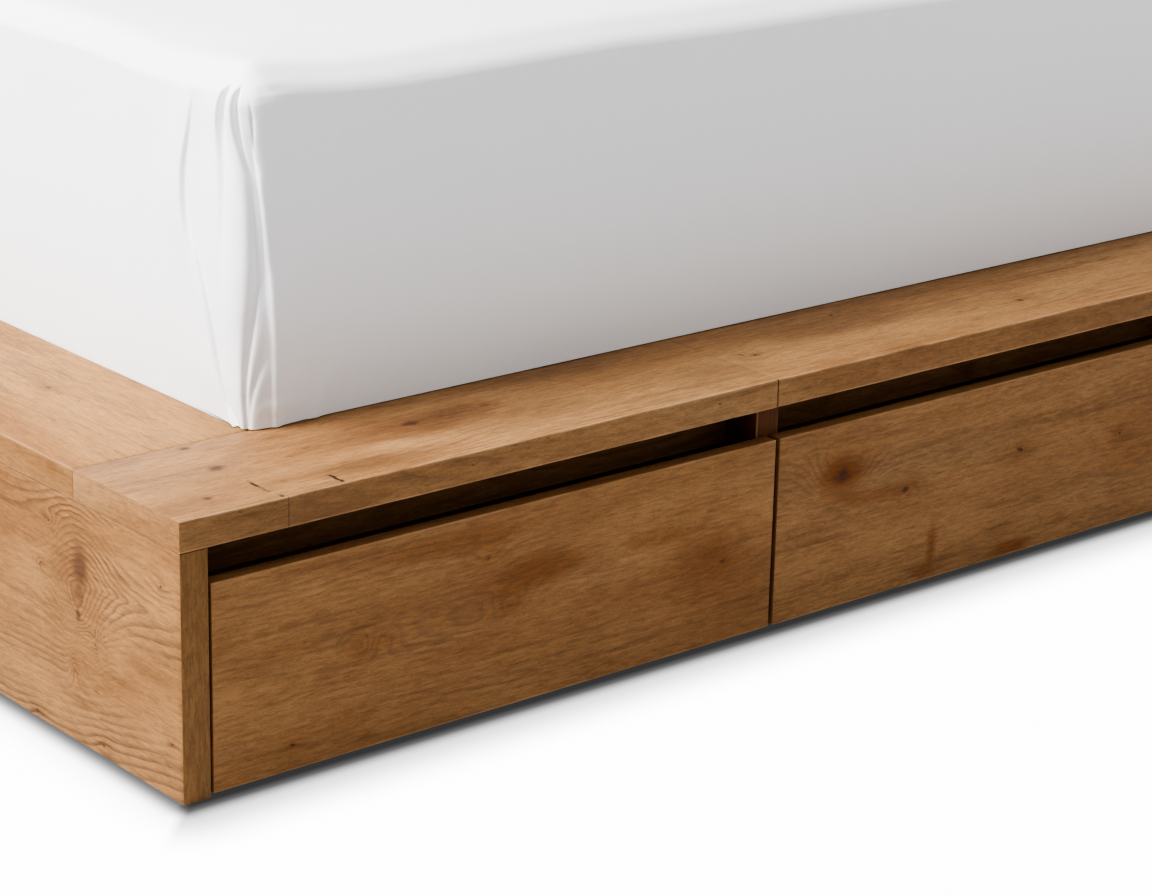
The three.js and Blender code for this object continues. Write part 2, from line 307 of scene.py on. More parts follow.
def oak(name, box, grain, face, seed, knots=(), cracks=(), patches=(), tone=0.0, heart=0.0, figure=0.42,
        shade=1.0, edge_shade=1.0, end_shade=0.84, speckle=0.45, tint=(1.0, 1.0, 1.0),
        wear_and_highlight=0.55, worn_side=0, stain=OAK_DARK, halo=OAK_RED):
    """Rustic oak for one board. grain and face name the axes along and across the seen face.
    heart shifts the middle of the growth rings across the board, tone moves the mix of pale and
    middle oak, figure is how strongly the rings show, shade darkens the whole board, edge_shade is
    painted shade on the faces of its long edges and end_shade painted shade on its ends, speckle is
    the strength of the small dark flecks, and tint multiplies the colour, wear_and_highlight is how
    pale the worn edges are, a pale wear that also stands as a painted highlight, and worn_side keeps
    them to the board's low (-1) or high (+1) side across.
    patches are (along, across, length, height, amount): darker, or paler where amount is negative.
    stain is the colour of the dark patches, and halo that of the wood round a knot."""
    rng = np.random.default_rng(seed)
    shift = tuple(float(v) for v in rng.uniform(-40, 40, 3))
    material, shader, nodes = new_material(name)
    facing = board_facing(nodes)
    place = board_place(nodes, box, grain, face, facing)
    lookup = nodes.vector("ADD", place, shift)
    along, across, depth = nodes.split(place)

    # growth rings round a heart that wanders under the face, bent round the knots
    bend = nodes.noise(nodes.scaled(lookup, (1.3, 3.6, 3.6)), 1.0, 2.0)
    fine_bend = nodes.noise(nodes.scaled(lookup, (6.0, 26.0, 26.0)), 1.0, 2.5)
    sideways = nodes.times(nodes.minus(bend, 0.5), 0.17)
    offset = nodes.plus(nodes.minus(across, heart), sideways)
    under_at = nodes.combine(nodes.times(along, 1.6), shift[1], shift[2])
    under = nodes.ramp(nodes.noise(under_at, 1.0, 1.0), 0.30, 0.72, 0.004, 0.085)
    deep = nodes.plus(under, depth)
    radius = nodes.math("SQRT", nodes.plus(nodes.times(offset, offset), nodes.times(deep, deep)))
    rings = nodes.times(radius, RINGS_PER_METRE)
    rings = nodes.plus(rings, nodes.times(fine_bend, 2.0))
    scatter = nodes.add("TexNoise", {"Vector": lookup, "Scale": 48.0, "Detail": 2.0}, output=1)
    wander = nodes.scaled(nodes.vector("SUBTRACT", scatter, (0.5, 0.5, 0.5)), (0.010, 0.010, 0.0))
    shifts, hearts, halos = knot_fields(nodes, place, wander, knots or ((9.0, 9.0, 0.01, 0.0),))
    part = nodes.math("FRACT", nodes.plus(rings, shifts))
    line = nodes.times(nodes.ramp(part, 0.30, 0.90), nodes.ramp(part, 0.90, 1.0, 1.0, 0.0))
    show = nodes.ramp(nodes.noise(nodes.scaled(lookup, (2.8, 15.0, 15.0)), 1.0, 2.0), 0.44, 0.68, 0.05, 1.0)
    on_face = nodes.ramp(facing[grain], 0.70, 0.80, 1.0, 0.25)
    late_wood = nodes.times(nodes.times(line, on_face),
                           nodes.math("MAXIMUM", show, nodes.times(halos, 0.7)))

    # fibres and clouds of colour
    strokes = nodes.noise(nodes.scaled(lookup, (42.0, 300.0, 300.0)), 1.0, 3.0, 0.65, 0.8)
    dust = nodes.noise(nodes.scaled(lookup, (260.0, 1100.0, 1100.0)), 1.0, 2.0, 0.6)
    cloud = nodes.noise(nodes.scaled(lookup, (1.6, 7.0, 7.0)), 1.0, 3.0, 0.6)
    hue = nodes.noise(nodes.scaled(lookup, (2.3, 8.0, 8.0)), 1.0, 2.0, 0.5)
    streak = nodes.noise(nodes.scaled(lookup, (5.0, 80.0, 80.0)), 1.0, 4.0, 0.65, 0.3)
    blot = nodes.noise(nodes.scaled(lookup, (7.0, 27.0, 27.0)), 1.0, 3.0, 0.6)
    speck = nodes.noise(nodes.scaled(lookup, (45.0, 150.0, 150.0)), 1.0, 1.0)

    base = nodes.mix(nodes.ramp(cloud, 0.33 - tone, 0.67 - tone), OAK_MIDDLE, OAK_LIGHT)
    base = nodes.mix(nodes.ramp(hue, 0.47, 0.68, 0.0, 0.60), base, OAK_RED)
    base = nodes.mix(nodes.ramp(hue, 0.43, 0.28, 0.0, 0.40), base, OAK_GREY)
    mottle = nodes.noise(nodes.scaled(lookup, (12.0, 34.0, 34.0)), 1.0, 3.0, 0.65)
    base = nodes.mix(nodes.ramp(mottle, 0.52, 0.72, 0.0, 0.40), base, OAK_RED)
    base = nodes.mix(nodes.ramp(mottle, 0.47, 0.28, 0.0, 0.35), base, OAK_LIGHT)
    base = nodes.mix(nodes.ramp(streak, 0.50, 0.76, 0.0, 0.42), base, OAK_DARK)
    base = nodes.mix(nodes.ramp(blot, 0.60, 0.78, 0.0, 0.45), base, OAK_DARK)
    ragged = nodes.times(nodes.minus(nodes.plus(blot, streak), 1.0), 1.3)
    for *patch, amount in patches:
        mask = nodes.times(patch_mask(nodes, place, ragged, patch), abs(amount))
        base = nodes.mix(mask, base, stain if amount > 0 else OAK_LIGHT)
    ring_mark = nodes.times(late_wood, nodes.math("MULTIPLY_ADD", halos, 1.6 * figure - 0.34, figure))
    base = nodes.mix(ring_mark, base, OAK_DARK)
    base = nodes.mix(nodes.times(halos, 0.30), base, halo)
    grit = nodes.plus(nodes.times(strokes, 0.60), nodes.times(dust, 0.40))
    grit = nodes.ramp(grit, 0.32, 0.68, 0.75 * shade, 1.21 * shade)
    # painted shade: the faces of the long edges and of the ends are darkened by the way they face
    if edge_shade != 1.0:
        grit = nodes.times(grit, nodes.ramp(facing[face], 0.70, 0.80, 1.0, edge_shade))
    grit = nodes.times(grit, nodes.ramp(facing[grain], 0.70, 0.80, 1.0, end_shade))
    base = nodes.mix(1.0, base, nodes.scaled_by(tint, grit), "MULTIPLY")

    # pale wear along the long edges, which is also a painted highlight there, then knots, specks and splits
    edge = edge_distance(nodes, box, grain)
    rub = nodes.noise(nodes.scaled(lookup, (14.0, 60.0, 60.0)), 1.0, 3.0)
    worn = nodes.times(nodes.ramp(edge, 3.0 * MM, 0.3 * MM), nodes.ramp(rub, 0.35, 0.62, 0.2, 0.8))
    if worn_side:
        worn = nodes.times(worn, nodes.ramp(nodes.times(across, worn_side), -20 * MM, 20 * MM))
    # the pale edges are worn wood and a painted highlight in one
    base = nodes.mix(nodes.times(worn, wear_and_highlight), base, OAK_WEAR_AND_HIGHLIGHT)
    base = nodes.mix(nodes.times(hearts, 0.84), base, OAK_KNOT)
    specks = nodes.ramp(speck, 0.775, 0.81, 0.0, speckle)
    base = nodes.mix(specks, base, OAK_CRACK)
    height = nodes.plus(strokes, nodes.times(late_wood, -0.30))
    height = nodes.minus(height, nodes.plus(specks, nodes.times(hearts, 0.5)))
    if cracks:
        splits = crack_field(nodes, place, cracks)
        base = nodes.mix(nodes.times(splits, 0.95), base, OAK_CRACK)
        height = nodes.minus(height, nodes.times(splits, 3.0))
    roughness = nodes.ramp(nodes.plus(strokes, late_wood), 0.2, 1.5, 0.68, 0.50)
    shader.inputs["Specular IOR Level"].default_value = 0.28
    finish_surface(nodes, shader, base, roughness, height, 0.4 * MM, 0.6)
    return material


def plain_wood(name, colors, grain, seed, ply_axis=None, roughness=(0.62, 0.78)):
    """Unfinished inner wood. ply_axis adds the glue lines of plywood across that axis."""
    light, dark = colors
    rng = np.random.default_rng(seed)
    material, shader, nodes = new_material(name)
    raw = nodes.vector("ADD", nodes.add("TexCoord", output=3), tuple(map(float, rng.uniform(-20, 20, 3))))
    stretch = {"x": (3.0, 45.0, 45.0), "y": (45.0, 3.0, 45.0), "z": (45.0, 45.0, 3.0)}[grain]
    long_streak = nodes.noise(nodes.scaled(raw, stretch), 1.0, 3.0, 0.6)
    fine = nodes.noise(nodes.scaled(raw, tuple(9.0 * v for v in stretch)), 1.0, 2.0)
    cloud = nodes.noise(nodes.scaled(raw, tuple(0.14 * v + 1.0 for v in stretch)), 1.0, 2.0)
    amount = nodes.plus(nodes.times(long_streak, 0.6), nodes.times(cloud, 0.4))
    base = nodes.mix(nodes.ramp(amount, 0.34, 0.68), light, dark)
    shade = nodes.ramp(fine, 0.3, 0.7, 0.88, 1.1)
    base = nodes.mix(1.0, base, nodes.combine(shade, shade, shade), "MULTIPLY")
    if ply_axis:
        across = dict(zip("xyz", nodes.split(nodes.add("TexCoord", output=3))))[ply_axis]
        wave = nodes.math("FRACT", nodes.times(across, 1.0 / (2.5 * MM)))
        band = nodes.ramp(nodes.math("ABSOLUTE", nodes.minus(wave, 0.5)), 0.10, 0.24)
        on_edge = nodes.minus(1.0, nodes.ramp(board_facing(nodes)[ply_axis], 0.2, 0.6))
        dark_ply = tuple(0.55 * c for c in dark)
        base = nodes.mix(nodes.times(nodes.times(band, on_edge), 0.55), base, dark_ply)
    rough = nodes.ramp(long_streak, 0.3, 0.7, roughness[0], roughness[1])
    finish_surface(nodes, shader, base, rough, fine, 0.2 * MM, 0.5)
    return material


# ---------------------------------------------------------------- mesh helpers


def new_piece(name, vertices, faces, material, body, slot, smooth_angle=None):
    """A mesh object that rides on a body, with the given material. The slot is not used."""
    mesh = bpy.data.meshes.new(name)
    mesh.from_pydata(vertices, [], faces)
    mesh.validate()
    piece = bpy.data.objects.new(name, mesh)
    bpy.context.scene.collection.objects.link(piece)
    return dress(piece, material, body, smooth_angle)


def dress(piece, material, body, smooth_angle=None):
    mesh = piece.data
    mesh.materials.clear()
    mesh.materials.append(material)
    if smooth_angle is not None:
        mesh.polygons.foreach_set("use_smooth", [True] * len(mesh.polygons))
        mesh.set_sharp_from_angle(angle=math.radians(smooth_angle))
    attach(piece, body)
    return piece


def smooth_random(rng, count, spacing):
    """A random curve of that many values from 0 to 1, with a knot every few values."""
    knots = rng.uniform(0, 1, count // spacing + 4)
    at = np.linspace(0, len(knots) - 1.001, count)
    left = at.astype(int)
    part = at - left
    part = part * part * (3 - 2 * part)
    return knots[left] * (1 - part) + knots[left + 1] * part


# the corners of a board's section, low (0) or high (1) along both axes, and where their arcs start
SECTION_CORNERS = ((0, 0, math.pi), (1, 0, 1.5 * math.pi), (1, 1, 0.0), (0, 1, 0.5 * math.pi))
CORNER_STEPS = 4
WEAR_PITCH = 9 * MM
CRISP_EDGE = 0.2 * MM


def worn_board(name, node, body, material, long_axis, seed, radius=(0.8 * MM, 2.4 * MM), ease=1.0 * MM,
               jointed=(), reach=0.0):
    """A board in place of a CAD node, with long edges rounded by uneven wear and eased ends. The
    edges numbered in jointed are cut crisp for a tight joint, and reach lengthens both ends."""
    low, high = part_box(node)
    rng = np.random.default_rng(seed)
    axes = [long_axis] + [a for a in range(3) if a != long_axis]
    start, end = low[axes[0]] - reach, high[axes[0]] + reach
    stations = max(12, int((end - start) / WEAR_PITCH))
    inner = np.linspace(start + ease, end - ease, stations)
    lengths = [start, start + 0.3 * ease] + list(inner) + [end - 0.3 * ease, end]
    shrink = [ease, 0.35 * ease] + [0.0] * stations + [0.35 * ease, ease]
    count = len(lengths)
    wear = []
    for edge in range(4):
        curve = 0.65 * smooth_random(rng, count, 9) + 0.35 * smooth_random(rng, count, 2)
        worn = radius[0] + (radius[1] - radius[0]) * curve ** 1.6
        wear.append(np.full(count, CRISP_EDGE) if edge in jointed else worn)
    vertices = []
    for i, at in enumerate(lengths):
        edges = ((low[axes[1]] + shrink[i], high[axes[1]] - shrink[i]),
                 (low[axes[2]] + shrink[i], high[axes[2]] - shrink[i]))
        for c, (u, v, turn) in enumerate(SECTION_CORNERS):
            r = wear[c][i]
            middle_u = edges[0][u] + (r if u == 0 else -r)
            middle_v = edges[1][v] + (r if v == 0 else -r)
            for k in range(CORNER_STEPS):
                angle = turn + 0.5 * math.pi * k / (CORNER_STEPS - 1)
                point = [0.0, 0.0, 0.0]
                point[axes[0]] = at
                point[axes[1]] = middle_u + r * math.cos(angle)
                point[axes[2]] = middle_v + r * math.sin(angle)
                vertices.append(point)
    ring = 4 * CORNER_STEPS
    faces = []
    for i in range(count - 1):
        for k in range(ring):
            nxt = (k + 1) % ring
            faces.append((i * ring + k, i * ring + nxt, (i + 1) * ring + nxt, (i + 1) * ring + k))
    faces.append(tuple(reversed(range(ring))))
    faces.append(tuple(range((count - 1) * ring, count * ring)))
    if long_axis == 1:  # the other two axes then come in the opposite order
        faces = [tuple(reversed(f)) for f in faces]
    piece = new_piece(name, vertices, faces, material, body, "oak", smooth_angle=40)
    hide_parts(node)
    return piece


def eased_copy(name, node, body, material, radius=0.7 * MM, smooth_angle=40):
    """The CAD node's own shape with every sharp edge eased by a small round."""
    bm = bmesh.new()
    bm.from_mesh(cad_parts[node].data)
    bmesh.ops.remove_doubles(bm, verts=bm.verts, dist=0.01 * MM)
    bmesh.ops.dissolve_limit(bm, angle_limit=math.radians(1), verts=bm.verts, edges=bm.edges)
    sharp = [e for e in bm.edges if e.is_manifold and e.calc_face_angle() > math.radians(30)]
    bmesh.ops.bevel(bm, geom=sharp, offset=radius, segments=2, profile=0.5, affect="EDGES")
    bmesh.ops.recalc_face_normals(bm, faces=bm.faces)
    mesh = bpy.data.meshes.new(name)
    bm.to_mesh(mesh)
    bm.free()
    piece = bpy.data.objects.new(name, mesh)
    bpy.context.scene.collection.objects.link(piece)
    dress(piece, material, body, smooth_angle)
    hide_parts(node)
    return piece


# ---------------------------------------------------------------- fixed frame


def union_box(first, last):
    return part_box(first)[0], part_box(last)[1]


def marks_on(box, axes, points):
    """Marks given as distances from the corner of the box nearest the camera, made relative to the
    box's middle, as the wood's coordinates are. axes are the numbers of the two axes."""
    low, high = box
    half = [(high[axis] - low[axis]) / 2 for axis in axes]
    return [(a - half[0], b - half[1], *rest) for a, b, *rest in points]


def cracks_on(box, axes, cracks):
    low, high = box
    half = [(high[axis] - low[axis]) / 2 for axis in axes]
    return [(at - half[0], start - half[1], end - half[1], width) for at, start, end, width in cracks]


PANEL_KNOTS = (
    (0.186, 0.198, 0.031, -5.0, 0.85, 1.20), (0.190, 0.168, 0.017, -2.0, 0.7, 1.15),
    (0.193, 0.143, 0.008, -3.0, 0.9, 1.1), (0.160, 0.118, 0.004, -3.5, 0.5, 1.3),
    (0.200, 0.085, 0.004, 3.0, 0.0, 1.4), (0.245, 0.232, 0.002, 2.0), (0.262, 0.178, 0.002, -2.2),
    (0.560, 0.070, 0.007, 3.5), (0.930, 0.190, 0.013, -5.0), (1.420, 0.120, 0.010, 5.0),
    (1.700, 0.210, 0.005, -3.0), (0.279, 0.008, 0.004, 0.5), (0.148, 0.013, 0.003, 0.5),
    (0.018, 0.060, 0.003, 0.5), (0.035, 0.222, 0.003, 1.0),
)
PANEL_PATCHES = (
    (0.110, 0.170, 0.060, 0.030, -0.95), (0.150, 0.225, 0.030, 0.010, 0.15),
    (0.235, 0.150, 0.035, 0.050, 0.18), (0.300, 0.150, 0.050, 0.035, -0.40),
    (0.030, 0.090, 0.050, 0.030, -0.40), (0.192, 0.190, 0.030, 0.040, 0.22),
    (0.170, 0.235, 0.070, 0.010, 0.25), (0.060, 0.125, 0.050, 0.012, 0.30),
    (0.120, 0.010, 0.100, 0.010, -0.30), (0.050, 0.210, 0.070, 0.034, -0.9),
    (0.140, 0.206, 0.024, 0.022, -0.7), (0.225, 0.195, 0.024, 0.030, 0.30),
)
SIDE_LEDGE_KNOTS = (
    (0.367, 0.115, 0.0125, 2.0), (0.119, 0.113, 0.011, 1.0), (0.060, 0.042, 0.007, 1.5, 0.9),
    (0.1265, 0.184, 0.009, 1.0), (0.467, 0.118, 0.006, 1.5, 0.5), (0.834, 0.084, 0.004, -1.0),
    (1.255, 0.065, 0.005, 2.0), (1.020, 0.150, 0.004, 1.5), (1.830, 0.120, 0.009, -4.0),
    (2.150, 0.070, 0.005, 2.0),
)
FAR_LEDGE_KNOTS = ((0.45, 0.09, 0.010, 4.0), (1.12, 0.06, 0.008, -4.0), (1.95, 0.12, 0.010, 5.0))
SIDE_LEDGE_CRACKS = (
    (0.122, 0.020, 0.066, 0.0030), (0.125, 0.002, 0.012, 0.0034), (0.199, 0.002, 0.032, 0.0034),
    (0.129, -0.020, 0.003, 0.00045), (0.600, 0.105, 0.118, 0.0010), (0.822, 0.086, 0.100, 0.0014),
)
SIDE_LEDGE_PATCHES = (
    (0.330, 0.110, 0.130, 0.034, 0.65), (0.420, 0.150, 0.090, 0.016, -0.35),
    (0.430, 0.122, 0.070, 0.024, 0.55), (0.620, 0.170, 0.120, 0.030, 0.30),
    (0.750, 0.060, 0.060, 0.024, 0.25), (0.110, 0.000, 0.120, 0.010, 0.30),
    (0.045, 0.160, 0.050, 0.050, 0.26), (0.260, 0.035, 0.090, 0.022, 0.60),
    (0.060, 0.150, 0.060, 0.030, -0.3), (0.560, 0.060, 0.140, 0.020, -0.25),
    (1.000, 0.120, 0.120, 0.040, 0.35), (0.460, 0.075, 0.150, 0.045, 0.30),
    (0.250, 0.150, 0.090, 0.022, 0.22), (0.030, 0.030, 0.05, 0.03, 0.2),
    # painted light: the long pale patch brightens the top towards the head end
    (1.750, 0.110, 0.500, 0.080, -0.75), (1.350, 0.060, 0.120, 0.03, -0.30),
)


def add_panels():
    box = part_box("foot_panel")
    material = oak("oak_foot_panel", box, "y", "z", 11, marks_on(box, (1, 2), PANEL_KNOTS), tone=0.06,
                   heart=0.05, patches=marks_on(box, (1, 2), PANEL_PATCHES), figure=0.66, shade=0.88,
                   tint=(0.98, 0.95, 0.86), wear_and_highlight=0.1)
    worn_board("foot_panel_board", "foot_panel", "frame", material, 1, 101, jointed=(2, 3))
    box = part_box("head_panel")
    knots = ((-0.42, 0.02, 0.013, -5.0), (0.35, -0.05, 0.009, 4.0))
    material = oak("oak_head_panel", box, "y", "z", 12, knots, heart=-0.02, figure=0.5)
    worn_board("head_panel_board", "head_panel", "frame", material, 1, 102, jointed=(2, 3))


def add_ledge():
    for side, seed, knots, cracks, patches in (
        ("left", 21, SIDE_LEDGE_KNOTS, SIDE_LEDGE_CRACKS, SIDE_LEDGE_PATCHES),
        ("right", 24, FAR_LEDGE_KNOTS, (), ()),
    ):
        box = union_box(f"ledge_{side}_1", f"ledge_{side}_3")
        if side == "left":
            joints = [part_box(f"ledge_{side}_{i}")[1].x - box[0].x for i in (1, 2)]
            cracks = (*cracks, *((joint, -0.020, 0.004, 0.0012) for joint in joints))
        # The ledges' long edges get painted shade; their pale front edges are wear and a painted highlight.
        material = oak(f"oak_ledge_{side}", box, "x", "y", seed, marks_on(box, (0, 1), knots),
                       cracks_on(box, (0, 1), cracks), marks_on(box, (0, 1), patches), tone=0.0, figure=0.40,
                       edge_shade=0.94, end_shade=1.0, tint=(1.0, 1.03, 1.04),
                       wear_and_highlight=0.85, worn_side=-1 if side == "left" else 1)
        for i in range(1, 4):
            node = f"ledge_{side}_{i}"
            worn_board(f"{node}_board", node, "frame", material, 0, 200 + seed + i, ease=0.2 * MM,
                       jointed=(1, 2) if side == "left" else (0, 3), reach=0.2 * MM if i == 2 else 0.0)
    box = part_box("ledge_foot")
    knots = ((0.247, 0.123, 0.006, 1.0, 0.6), (0.250, 0.012, 0.006, 1.0, 0.8),
             (0.330, 0.060, 0.005, 1.0, 0.4), (0.620, 0.100, 0.010, 4.0), (0.470, 0.170, 0.012, 1.5, 0.3))
    # edge_shade here is painted shade on the foot ledge's long edges
    material = oak("oak_ledge_foot", box, "y", "x", 31, marks_on(box, (1, 0), knots), tone=0.03, figure=0.46,
                   edge_shade=0.90, tint=(0.98, 0.96, 0.84))
    worn_board("ledge_foot_board", "ledge_foot", "frame", material, 1, 211, ease=0.1 * MM, reach=0.22 * MM)
    material = oak("oak_ledge_head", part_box("ledge_head"), "y", "x", 32, ((0.30, 0.01, 0.009, -3.0),))
    worn_board("ledge_head_board", "ledge_head", "frame", material, 1, 212, ease=0.3 * MM)


def add_inner_members():
    for i, node in enumerate(("divider_1", "divider_2")):
        # The dividers sit in the dark recess behind the drawer fronts: their shade, the dark patch over the
        # whole board and the red tint are painted shade.
        material = oak(f"oak_{node}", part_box(node), "z", "y", 41 + i, shade=0.75,
                       patches=((0, 0, 9.0, 9.0, 0.75),), tint=(1.12, 0.84, 0.50))
        eased_copy(f"{node}_board", node, "frame", material, 1.0 * MM)
    for i, node in enumerate(("rail_left", "rail_right")):
        material = oak(f"oak_{node}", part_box(node), "x", "z", 44 + i, tone=-0.05)
        eased_copy(f"{node}_board", node, "frame", material, 1.0 * MM)
    pale = plain_wood("planed_pine", ((0.62, 0.47, 0.28), (0.50, 0.34, 0.18)), "x", 51)
    for node in ("cleat_left", "cleat_right", "centre_beam"):
        eased_copy(f"{node}_board", node, "frame", pale, 1.0 * MM)
    beech = plain_wood("runner_beech", ((0.48, 0.29, 0.15), (0.39, 0.22, 0.11)), "y", 52,
                       roughness=(0.38, 0.5))
    for i in range(1, 7):
        eased_copy(f"runner_{i}_strip", f"runner_{i}", "frame", beech, 1.0 * MM)


# ---------------------------------------------------------------- drawers

# shade on the second and third fronts is painted shade, taking back the light that the fill lamp puts on them
FRONT_MARKS = {
    "drawer_left_1": dict(
        knots=[(0.217, 0.120, 0.005, -3.5, 0.1), (0.240, 0.118, 0.004, 2.5, 0.0),
               (0.413, 0.119, 0.005, 3.5, 0.3), (0.700, 0.112, 0.013, -4.5, 0.0),
               (0.719, 0.100, 0.004, 2.0, 0.6), (0.131, 0.032, 0.003, 1.0),
               (0.385, 0.178, 0.004, 1.5, 0.6)],
        patches=[(0.453, 0.149, 0.085, 0.020, 0.60), (0.340, 0.205, 0.110, 0.016, 0.4),
                 (0.717, 0.098, 0.012, 0.014, 0.25), (0.620, 0.150, 0.060, 0.014, 0.35),
                 (0.560, 0.125, 0.120, 0.022, -0.35), (0.640, 0.190, 0.10, 0.014, -0.30),
                 (0.690, 0.110, 0.090, 0.080, 0.14)],
        heart=0.01),
    "drawer_left_2": dict(
        knots=[(0.899, 0.166, 0.0125, 6.0), (1.005, 0.125, 0.007, -5.0), (1.200, 0.136, 0.005, 3.0),
               (1.383, 0.124, 0.003, 1.5)],
        patches=[(0.899, 0.166, 0.042, 0.030, 0.90), (1.055, 0.042, 0.011, 0.034, 0.60),
                 (1.046, 0.018, 0.026, 0.014, 0.60), (1.194, 0.012, 0.040, 0.010, 0.7),
                 (0.960, 0.128, 0.080, 0.010, 0.45), (1.120, 0.190, 0.160, 0.016, -0.40),
                 (1.420, 0.110, 0.090, 0.080, 0.20)],
        heart=-0.03, shade=0.93),
    "drawer_left_3": dict(shade=0.90, knots=[(1.800, 0.100, 0.012, -6.0), (2.120, 0.160, 0.006, 3.0)],
                          patches=[(1.70, 0.18, 0.10, 0.02, 0.35)], heart=0.04),
    "drawer_right_1": dict(knots=[(0.300, 0.150, 0.010, 5.0), (0.640, 0.080, 0.005, -3.0)],
                           patches=[(0.50, 0.05, 0.12, 0.02, 0.35)], heart=-0.02),
    "drawer_right_2": dict(knots=[(1.250, 0.110, 0.012, -6.0)], patches=[(1.0, 0.17, 0.10, 0.02, -0.4)],
                           heart=0.02),
    "drawer_right_3": dict(knots=[(1.720, 0.170, 0.006, 3.0), (2.050, 0.090, 0.010, 5.0)],
                           patches=[(1.9, 0.05, 0.09, 0.02, 0.4)], heart=0.0),
}


def add_drawers():
    birch = ((0.64, 0.49, 0.30), (0.54, 0.38, 0.21))
    side_wood = plain_wood("birch_ply_side", birch, "y", 61, ply_axis="x")
    back_wood = plain_wood("birch_ply_back", birch, "x", 62, ply_axis="y")
    floor_wood = plain_wood("birch_ply_floor", birch, "x", 63, ply_axis="z")
    for i, (name, mark) in enumerate(FRONT_MARKS.items()):
        node = f"{name}_front"
        low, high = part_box(node)
        run = (Vector((FOOT, low.y, 0)), Vector((low.x + high.x - FOOT, high.y, low.z + high.z)))
        # a front's shade, where given, is painted shade against the fill lamp
        material = oak(f"oak_{node}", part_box(node), "x", "z", 71 + i, marks_on(run, (0, 2), mark["knots"]),
                       heart=mark["heart"], patches=marks_on(run, (0, 2), mark["patches"]), tone=-0.02,
                       figure=0.34, speckle=0.15, shade=mark.get("shade", 1.0),
                       stain=OAK_STAIN, halo=OAK_STAIN)
        worn_board(f"{node}_board", node, name, material, 0, 301 + i, (0.5 * MM, 1.5 * MM), 0.8 * MM)
        for part, wood in (("side_left", side_wood), ("side_right", side_wood),
                           ("back", back_wood), ("floor", floor_wood)):
            eased_copy(f"{name}_{part}_board", f"{name}_{part}", name, wood, 0.6 * MM)


# ---------------------------------------------------------------- slats

SLAT_COUNT = 16
SLAT_WIDTH = 70 * MM
SLAT_THICKNESS = 18 * MM
TAPE_WIDTH = 30 * MM
TAPE_OFFSET = 420 * MM
SLAT_ROUND = 4 * MM


def rounded_bar(low, high, radius, long_axis, steps=3):
    """Vertices and faces of a bar with rounded long edges."""
    cross = [a for a in range(3) if a != long_axis]
    points = []
    for end in (low[long_axis], high[long_axis]):
        for u, v, turn in SECTION_CORNERS:
            for k in range(steps):
                angle = turn + 0.5 * math.pi * k / (steps - 1)
                point = [0.0, 0.0, 0.0]
                point[long_axis] = end
                point[cross[0]] = (high if u else low)[cross[0]] + radius * (math.cos(angle) + (1, -1)[u])
                point[cross[1]] = (high if v else low)[cross[1]] + radius * (math.sin(angle) + (1, -1)[v])
                points.append(point)
    ring = 4 * steps
    faces = [(k, (k + 1) % ring, ring + (k + 1) % ring, ring + k) for k in range(ring)]
    faces += [tuple(reversed(range(ring))), tuple(range(ring, 2 * ring))]
    if long_axis == 1:
        faces = [tuple(reversed(f)) for f in faces]
    return points, faces


def join_parts(parts):
    """Several (vertices, faces) as one."""
    vertices, faces = [], []
    for points, polygons in parts:
        base = len(vertices)
        vertices += points
        faces += [tuple(base + i for i in polygon) for polygon in polygons]
    return vertices, faces


def webbing_material():
    material, shader, nodes = new_material("webbing")
    raw = nodes.add("TexCoord", output=3)
    x, y, _ = nodes.split(raw)
    rows = nodes.math("SINE", nodes.times(x, 2 * math.pi / (1.6 * MM)))
    lanes = nodes.math("SINE", nodes.times(y, 2 * math.pi / (2.4 * MM)))
    weave = nodes.ramp(nodes.times(rows, lanes), -1.0, 1.0)
    base = nodes.mix(weave, (0.42, 0.40, 0.36), (0.62, 0.60, 0.55))
    rough = nodes.ramp(weave, 0.0, 1.0, 0.95, 0.8)
    finish_surface(nodes, shader, base, rough, weave, 0.3 * MM, 0.8)
    return material


def add_slats():
    low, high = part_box("slat_roll")
    pine = plain_wood("slat_pine", ((0.68, 0.53, 0.33), (0.55, 0.39, 0.22)), "y", 81)
    pitch = (high.x - low.x - SLAT_WIDTH) / (SLAT_COUNT - 1)
    top = low.z + SLAT_THICKNESS
    bars = []
    for i in range(SLAT_COUNT):
        x = low.x + i * pitch
        bars.append(rounded_bar((x, low.y, low.z), (x + SLAT_WIDTH, high.y, top), SLAT_ROUND, 1))
    slats = new_piece("slats", *join_parts(bars), pine, "frame", "slat_wood", 40)
    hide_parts("slat_roll")
    tapes = []
    start, end = low.x + SLAT_WIDTH / 2, high.x - SLAT_WIDTH / 2
    for y in (-TAPE_OFFSET, TAPE_OFFSET):
        columns = int((end - start) / (6 * MM))
        points, faces = [], []
        for i in range(columns + 1):
            x = start + (end - start) * i / columns
            off = ((x - low.x - SLAT_WIDTH / 2) / pitch) % 1.0
            between = max(0.0, 1.0 - abs(off - 0.5) / (0.5 - 0.5 * SLAT_WIDTH / pitch))
            sag = 1.6 * MM * math.sin(0.5 * math.pi * between) ** 2
            for side, lift in ((-1, 0.05 * MM), (1, 0.05 * MM), (1, 0.95 * MM), (-1, 0.95 * MM)):
                points.append((x, y + side * TAPE_WIDTH / 2, top + lift - sag))
        for i in range(columns):
            for k in range(4):
                a, b = 4 * i + k, 4 * i + (k + 1) % 4
                faces.append((a, a + 4, b + 4, b))
        faces += [(0, 1, 2, 3), tuple(4 * columns + k for k in (3, 2, 1, 0))]
        tapes.append((points, faces))
    new_piece("slat_tapes", *join_parts(tapes), webbing_material(), "frame", "slat_wood", 40)


# ---------------------------------------------------------------- mattress and fitted sheet

